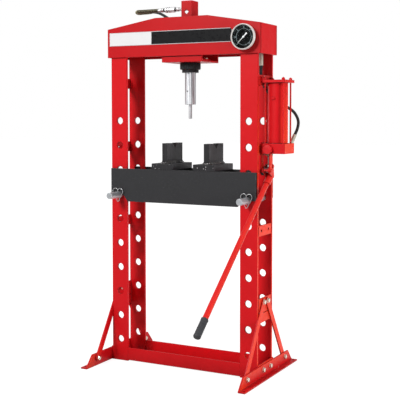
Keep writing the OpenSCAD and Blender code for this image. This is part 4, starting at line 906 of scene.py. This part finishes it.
class PRESS_OT_coupler(bpy.types.Operator):
    """Turn the quick coupler, its crimped end and its dark rings"""

    bl_idname = "press.coupler"
    bl_label = "Coupler and ferrules"

    def execute(self, context):
        start = corners("hose_coupler")[0].x
        thread_end = -0.0455 - start
        crimp_r, body_r, groove_r, neck_r, flats = 0.009, 0.0135, 0.0122, 0.0090, 0.020
        place = at(start, 0, HOSE_ROUTE[-1][2])
        whole = bmesh.new()
        crimp = [(0, 0), (0.0083, 0)]
        for index in range(5):
            step = index * 0.0036
            crimp += [(crimp_r, 0.0008 + step), (crimp_r, 0.0024 + step), (0.0083, 0.003 + step)]
        crimp += [(crimp_r, 0.0192), (0.0072, 0.0200), (0, 0.0200)]
        join(whole, turned(crimp, 40), place @ SPIN_X)
        join(whole, prism(flats, 0.013), place @ at(0.0205, 0, 0) @ SPIN_X)
        sleeve = [(0, 0.034), (0.0085, 0.034), (0.0085, 0.0405), (0.0118, 0.042), (body_r, 0.0435), (body_r, 0.052)]
        for index in range(3):
            edge = 0.0535 + index * 0.0115
            sleeve += [(body_r, edge), (groove_r, edge + 0.001), (groove_r, edge + 0.0035), (body_r, edge + 0.0045)]
        sleeve += [(body_r, 0.0945), (groove_r, 0.0960), (neck_r, 0.0965), (neck_r, 0.104), (0, 0.104)]
        join(whole, turned(sleeve, 56), place @ SPIN_X)
        join(whole, prism(flats, 0.014), place @ at(0.104, 0, 0) @ SPIN_X)
        join(whole, threaded(0.007, 0.118, thread_end, 0.0018, 0.0006, 32), place @ SPIN_X)
        make("coupler_turned", facing_out(whole), "coupler plating", "frame", instead="hose_coupler")
        rings = bmesh.new()
        for edge, width, reach in ((0.0010, 0.0020, 0.0089), (0.0215, 0.0025, 0.0103), (0.0340, 0.0060, 0.0089),
                                   (0.0545, 0.0024, 0.0129), (0.0660, 0.0018, 0.0129), (0.0970, 0.0066, 0.0089)):
            join(rings, ring(reach - 0.001, reach + 0.0002, edge, edge + width, 0.0003, 40), place @ SPIN_X)
        make("coupler_rings", rings, "seal rubber", "frame")
        return {"FINISHED"}


class PRESS_OT_clips(bpy.types.Operator):
    """Bend the two spring clips of the bed pins"""

    bl_idname = "press.clips"
    bl_label = "Pin clips"

    def execute(self, context):
        wire = 0.003
        for side in ("left", "right"):
            pin = middle("bed_pin_" + side)
            front, back = (corner.y for corner in corners("pin_clip_" + side))
            # The straight sides touch the loops' circles and the tip's circle
            top, point, loop, tip = 0.0173, -0.029, 0.0145, 0.004
            reach = math.hypot(loop, top - point)
            lean = math.atan(loop / (top - point)) + math.asin((loop - tip) / reach)
            arc = [index * (math.pi + lean) / 24 for index in range(25)]
            loops = [(loop * (math.cos(a) - 1), top + loop * math.sin(a)) for a in arc]
            ends = [math.pi + lean + index * (math.pi / 2 - lean) / 4 for index in range(9)]
            bends = [(0, -0.0205), (0, 0)] + loops + [(tip * math.cos(a), point + tip * math.sin(a)) for a in ends]
            line = [(pin.x + x, back - wire / 2, pin.z + z) for x, z in bends]
            line += [(pin.x - x, front + wire / 2, pin.z + z) for x, z in reversed(loops)]
            make("clip_wire_" + side, swept(line, wire / 2, 4), "bright steel", side + "_pin",
                         60, instead="pin_clip_" + side)
        return {"FINISHED"}


class PRESS_OT_knob(bpy.types.Operator):
    """Mould the fluted release knob"""

    bl_idname = "press.knob"
    bl_label = "Release knob"

    def execute(self, context):
        low, high = corners("release_knob")
        hub = (low + high) / 2
        radius = (high.x - low.x) / 2
        flutes, depth, thick, screw_r, screw_end = details().knob_flutes, 0.045, 0.016, 0.005, 0.030
        shape = bmesh.new()
        bmesh.ops.create_circle(shape, cap_ends=True, segments=flutes * 8, radius=radius)
        for point in shape.verts:
            turn = math.atan2(point.co.y, point.co.x) * flutes
            point.co *= 1 - depth * (1 - math.cos(turn))
        made = bmesh.ops.extrude_face_region(shape, geom=list(shape.faces))
        raised = [item for item in made["geom"] if isinstance(item, bmesh.types.BMVert)]
        bmesh.ops.translate(shape, vec=(0, 0, thick), verts=raised)
        rims = [edge for edge in shape.edges if abs(edge.verts[0].co.z - edge.verts[1].co.z) < 1e-6]
        bmesh.ops.bevel(shape, geom=rims, offset=0.0016, offset_type="OFFSET", segments=3, profile=0.5,
                        affect="EDGES", material=-1)
        whole = bmesh.new()
        join(whole, facing_out(shape))
        join(whole, turned([(0, -0.0004), (0.011, -0.0004), (0.0125, 0.001), (0, 0.001)], 32))
        join(whole, turned([(0, thick), (screw_r, thick), (screw_r, screw_end), (0, screw_end)], 24))
        whole.transform(at(hub.x, low.y + 0.0004, hub.z) @ SPIN_Y)
        make("knob_fluted", whole, "knob red", "release_valve", instead="release_knob")
        return {"FINISHED"}


class PRESS_OT_tie_rods(bpy.types.Operator):
    """Turn the pump's tie rods with their washers and nuts"""

    bl_idname = "press.tie_rods"
    bl_label = "Tie rods"

    def execute(self, context):
        low, high = corners("tie_rods")
        lid_top = corners("reservoir_lid")[1].z - 0.020
        whole, nuts = bmesh.new(), bmesh.new()
        rod_width = 0.008
        inset = 1.9 * rod_width / 2
        for x in (low.x + inset, high.x - inset):
            for y in (low.y + inset, high.y - inset):
                rod = [(0, low.z), (rod_width / 2, low.z), (rod_width / 2, lid_top), (0, lid_top)]
                join(whole, turned(rod, 24), at(x, y, 0))
                join(nuts, ring(0.0035, inset - 0.0001, 0, 0.0016, 0.0003, 28), at(x, y, lid_top))
                join(nuts, prism(1.65 * rod_width, 0.007), at(x, y, lid_top + 0.0016))
                tip = threaded(rod_width / 2, 0.0086, high.z - lid_top - 0.0002, 0.00125, 0.0004)
                join(nuts, tip, at(x, y, lid_top))
        make("rods_painted", facing_out(whole), "rod enamel", "frame", instead="tie_rods")
        make("rod_nuts", facing_out(nuts), "rod enamel", "frame")
        return {"FINISHED"}


class PRESS_OT_pump_trim(bpy.types.Operator):
    """Add the filler plug, the tube's seals, the ferrule's crimps and the nose's seam and set screw"""

    bl_idname = "press.pump_trim"
    bl_label = "Pump and ram trim"

    def execute(self, context):
        low, high = corners("reservoir_tube")
        centre_x, radius = (low.x + high.x) / 2, (high.x - low.x) / 2
        plug = turned([(0, 0), (0.0052, 0), (0.0060, 0.0008), (0.0060, 0.0022), (0, 0.0022)], 32)
        plug.transform(at(centre_x + 0.001, low.y - 0.0006, low.z + 0.205) @ SPIN_Y)
        make("filler_plug", plug, "red enamel", "frame")
        seals = bmesh.new()
        for z in (low.z + 0.0002, high.z - 0.0018):
            join(seals, ring(radius - 0.002, radius + 0.0005, z, z + 0.0016, 0.0004, 64), at(centre_x, 0, 0))
        make("tube_seals", seals, "seal rubber", "frame")
        start, way = Vector(HOSE_ROUTE[0]), (Vector(HOSE_ROUTE[1]) - Vector(HOSE_ROUTE[0])).normalized()
        crimps = bmesh.new()
        for index in range(5):
            back = start - way * (0.003 + 0.0055 * index)
            join(crimps, ring(0.0088, 0.00955, -0.0016, 0.0016, 0.0006, 36),
                 Matrix.Translation(back) @ way.to_track_quat("Z", "Y").to_matrix().to_4x4())
        make("ferrule_crimps", crimps, "cream plating", "frame")
        joint = corners("piston_rod")[0].z
        facing = Matrix.Rotation(math.radians(-97), 4, "Z")
        screw = turned([(0, 0.0225), (0.0018, 0.0225), (0.0018, 0.0240), (0.0030, 0.0240), (0.0036, 0.0234),
                        (0.0036, 0.0205), (0, 0.0205)], 24)
        screw.transform(at(0, 0, joint + 0.011) @ facing @ SPIN_X)
        make("set_screw", screw, "dull steel", "ram")
        seam = ring(0.0255, 0.02615, joint - 0.0006, joint + 0.0006, 0.0002, 64)
        make("nose_seam", seam, "hard chrome", "ram")
        return {"FINISHED"}


class PRESS_OT_spring(bpy.types.Operator):
    """Wind the return spring inside the ram"""

    bl_idname = "press.spring"
    bl_label = "Return spring"

    def execute(self, context):
        turns, steps, wire = 22, 20, 0.00175
        low, high = corners("return_spring")
        reach, rise = (high.x - low.x) / 2 - wire, high.z - low.z
        coil = []
        for step in range(turns * steps + 1):
            share = step / (turns * steps)
            turn = 2 * math.pi * turns * share
            height = low.z + wire + (rise - 2 * wire) * share
            coil.append(Vector((reach * math.cos(turn), reach * math.sin(turn), height)))
        piece = make("spring_coil", swept(coil, wire, 1), "dull steel", "frame", 60,
                     instead="return_spring")
        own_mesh(piece)
        return {"FINISHED"}


class PRESS_OT_grip(bpy.types.Operator):
    """Mould the handle's grip"""

    bl_idname = "press.grip"
    bl_label = "Handle grip"

    def execute(self, context):
        pivot, slope = (0.418, -0.046, 0.962), math.radians(39.5)
        drop, back = 0.050, 0.025
        tube_length, grip_length, tube_radius = 0.942, 0.093, 0.01255
        along = (at(*pivot) @ Matrix.Rotation(math.radians(90) + slope, 4, "X")
                 @ at(0, -drop, -back + tube_length - grip_length))
        r = 0.016
        profile = [
            (tube_radius, 0.0004), (r - 0.0012, 0.0), (r - 0.0001, 0.0016), (r - 0.0001, 0.008), (r - 0.0012, 0.010)]
        for index in range(6):
            height = 0.013 + index * 0.0105
            profile += [(r - 0.0012, height), (r - 0.0004, height + 0.0022), (r - 0.0004, height + 0.0052),
                        (r - 0.0012, height + 0.0074)]
        profile += [(r - 0.0012, 0.0775), (r - 0.0001, 0.080), (r - 0.0001, 0.088), (r - 0.0020, 0.0915),
                    (r - 0.0050, 0.0929), (0.0, 0.0929)]
        whole = bmesh.new()
        join(whole, turned(profile, 48), along)
        make("grip_moulded", facing_out(whole), "grip rubber", "handle", 30, instead="handle_grip")
        return {"FINISHED"}


class PRESS_OT_stage(bpy.types.Operator):
    """Lay the pale floor, hang the soft lamps and light the room"""

    bl_idname = "press.stage"
    bl_label = "Floor and lamps"

    def execute(self, context):
        self.floor()
        self.lamp("key lamp", (-1.4, -5.0, 3.9), 1.5, 282)
        self.lamp("side lamp", (5.0, -0.8, 0.9), 1.6, 160, False)
        self.lamp("back lamp", (1.2, 5.0, 1.0), 2.0, 190, False)
        self.lamp("left lamp", (-5.0, 0.6, 1.0), 1.6, 130, False)
        self.room()
        context.scene.view_settings.view_transform = "Standard"
        return {"FINISHED"}

    def floor(self):
        """A wide pale floor that goes to white and keeps the press's shadow."""
        shape = bmesh.new()
        bmesh.ops.create_grid(shape, x_segments=1, y_segments=1, size=30)
        mesh = bpy.data.meshes.new("floor")
        shape.to_mesh(mesh)
        shape.free()
        finish = bpy.data.materials.new("pale floor")
        finish.use_nodes = True
        tree = finish.node_tree
        shader = tree.nodes["Principled BSDF"]
        shader.inputs["Base Color"].default_value = (0.25, 0.25, 0.25, 1)
        shader.inputs["Roughness"].default_value = 0.85
        shader.inputs["Specular IOR Level"].default_value = 0.0
        place = add(tree, "TexCoord")
        away = add(tree, "VectorMath", {0: place.outputs["Object"]}, operation="LENGTH").outputs["Value"]
        white = mapped(tree, away, 0.8, 2.4, 0.88)
        glow = add(tree, "Emission", {"Color": (1, 1, 1, 1),
                                      "Strength": times(tree, white, seen_rays(tree))})
        both = add(tree, "AddShader", {0: shader.outputs[0], 1: glow.outputs[0]})
        tree.links.new(both.outputs[0], tree.nodes["Material Output"].inputs["Surface"])
        mesh.materials.append(finish)
        ground = bpy.data.objects.new("floor", mesh)
        bpy.context.scene.collection.objects.link(ground)

    def lamp(self, name, place, size, power, mirrored=True):
        """One soft square lamp aimed at the middle of the press, seen in the metal or not."""
        data = bpy.data.lights.new(name, "AREA")
        data.energy = power
        data.size = size
        lamp = bpy.data.objects.new(name, data)
        lamp.location = place
        lamp.rotation_euler = (Vector(place) - Vector((0, 0, 0.9))).to_track_quat("Z", "Y").to_euler()
        lamp.visible_glossy = mirrored
        bpy.context.scene.collection.objects.link(lamp)

    def room(self):
        """A room that is white where it is seen or mirrored, but for two dark cards, and dimmer where it lights."""
        world = bpy.data.worlds.new("room")
        world.use_nodes = True
        tree = world.node_tree
        dim = tree.nodes["Background"]
        dim.inputs["Color"].default_value = (1.0, 0.98, 0.96, 1)
        dim.inputs["Strength"].default_value = 0.27
        ray = add(tree, "SeparateXYZ", {0: add(tree, "TexCoord").outputs["Generated"]})
        bearing = calc(tree, "ARCTAN2", ray.outputs["X"], times(tree, ray.outputs["Y"], -1.0))
        front = mapped(tree, calc(tree, "ABSOLUTE", calc(tree, "SUBTRACT", bearing, 0.29)), 0.10, 0.20, 0.3)
        rear = mapped(tree, calc(tree, "ABSOLUTE", bearing), 1.9, 2.4, 1.0, 0.25)
        high = mapped(tree, ray.outputs["Z"], 0.15, 0.45)
        low_rear = calc(tree, "MAXIMUM", rear, high)
        cards = times(tree, front, low_rear)
        path = add(tree, "LightPath")
        direct = calc(tree, "MAXIMUM", path.outputs["Is Camera Ray"], path.outputs["Is Transmission Ray"])
        level = calc(tree, "MAXIMUM", direct, cards)
        bright = add(tree, "Background", {"Color": (1, 1, 1, 1), "Strength": level})
        mixed = add(tree, "MixShader", {0: seen_rays(tree), 1: dim.outputs[0], 2: bright.outputs[0]})
        tree.links.new(mixed.outputs[0], tree.nodes["World Output"].inputs["Surface"])
        bpy.context.scene.world = world


class PRESS_PT_panel(bpy.types.Panel):
    """The press's sizes, colours and steps in the sidebar"""

    bl_idname = "PRESS_PT_panel"
    bl_label = "Workshop press"
    bl_space_type = "VIEW_3D"
    bl_region_type = "UI"
    bl_category = "Press"

    def draw(self, context):
        for group in (context.scene.press_finishes, context.scene.press_details):
            box = self.layout.box()
            for name in group.__annotations__:
                box.prop(group, name)
        for step in STEPS:
            self.layout.operator(step.bl_idname)


STEPS = [
    PRESS_OT_camera, PRESS_OT_finishes, PRESS_OT_hose, PRESS_OT_fasteners, PRESS_OT_welds, PRESS_OT_block_welds,
    PRESS_OT_gauge, PRESS_OT_collar, PRESS_OT_coupler, PRESS_OT_clips, PRESS_OT_knob, PRESS_OT_tie_rods,
    PRESS_OT_pump_trim, PRESS_OT_spring, PRESS_OT_grip, PRESS_OT_stage,
]
CLASSES = [PressFinishes, PressDetails, *STEPS, PRESS_PT_panel]


def register():
    for item in CLASSES:
        bpy.utils.register_class(item)
    bpy.types.Scene.press_finishes = bpy.props.PointerProperty(type=PressFinishes)
    bpy.types.Scene.press_details = bpy.props.PointerProperty(type=PressDetails)


def unregister():
    del bpy.types.Scene.press_finishes
    del bpy.types.Scene.press_details
    for item in reversed(CLASSES):
        bpy.utils.unregister_class(item)


def main():
    """Dresses the press step by step."""
    register()
    for step in STEPS:
        group, name = step.bl_idname.split(".")
        getattr(getattr(bpy.ops, group), name)()
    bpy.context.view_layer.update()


if __name__ == "__main__":
    main()
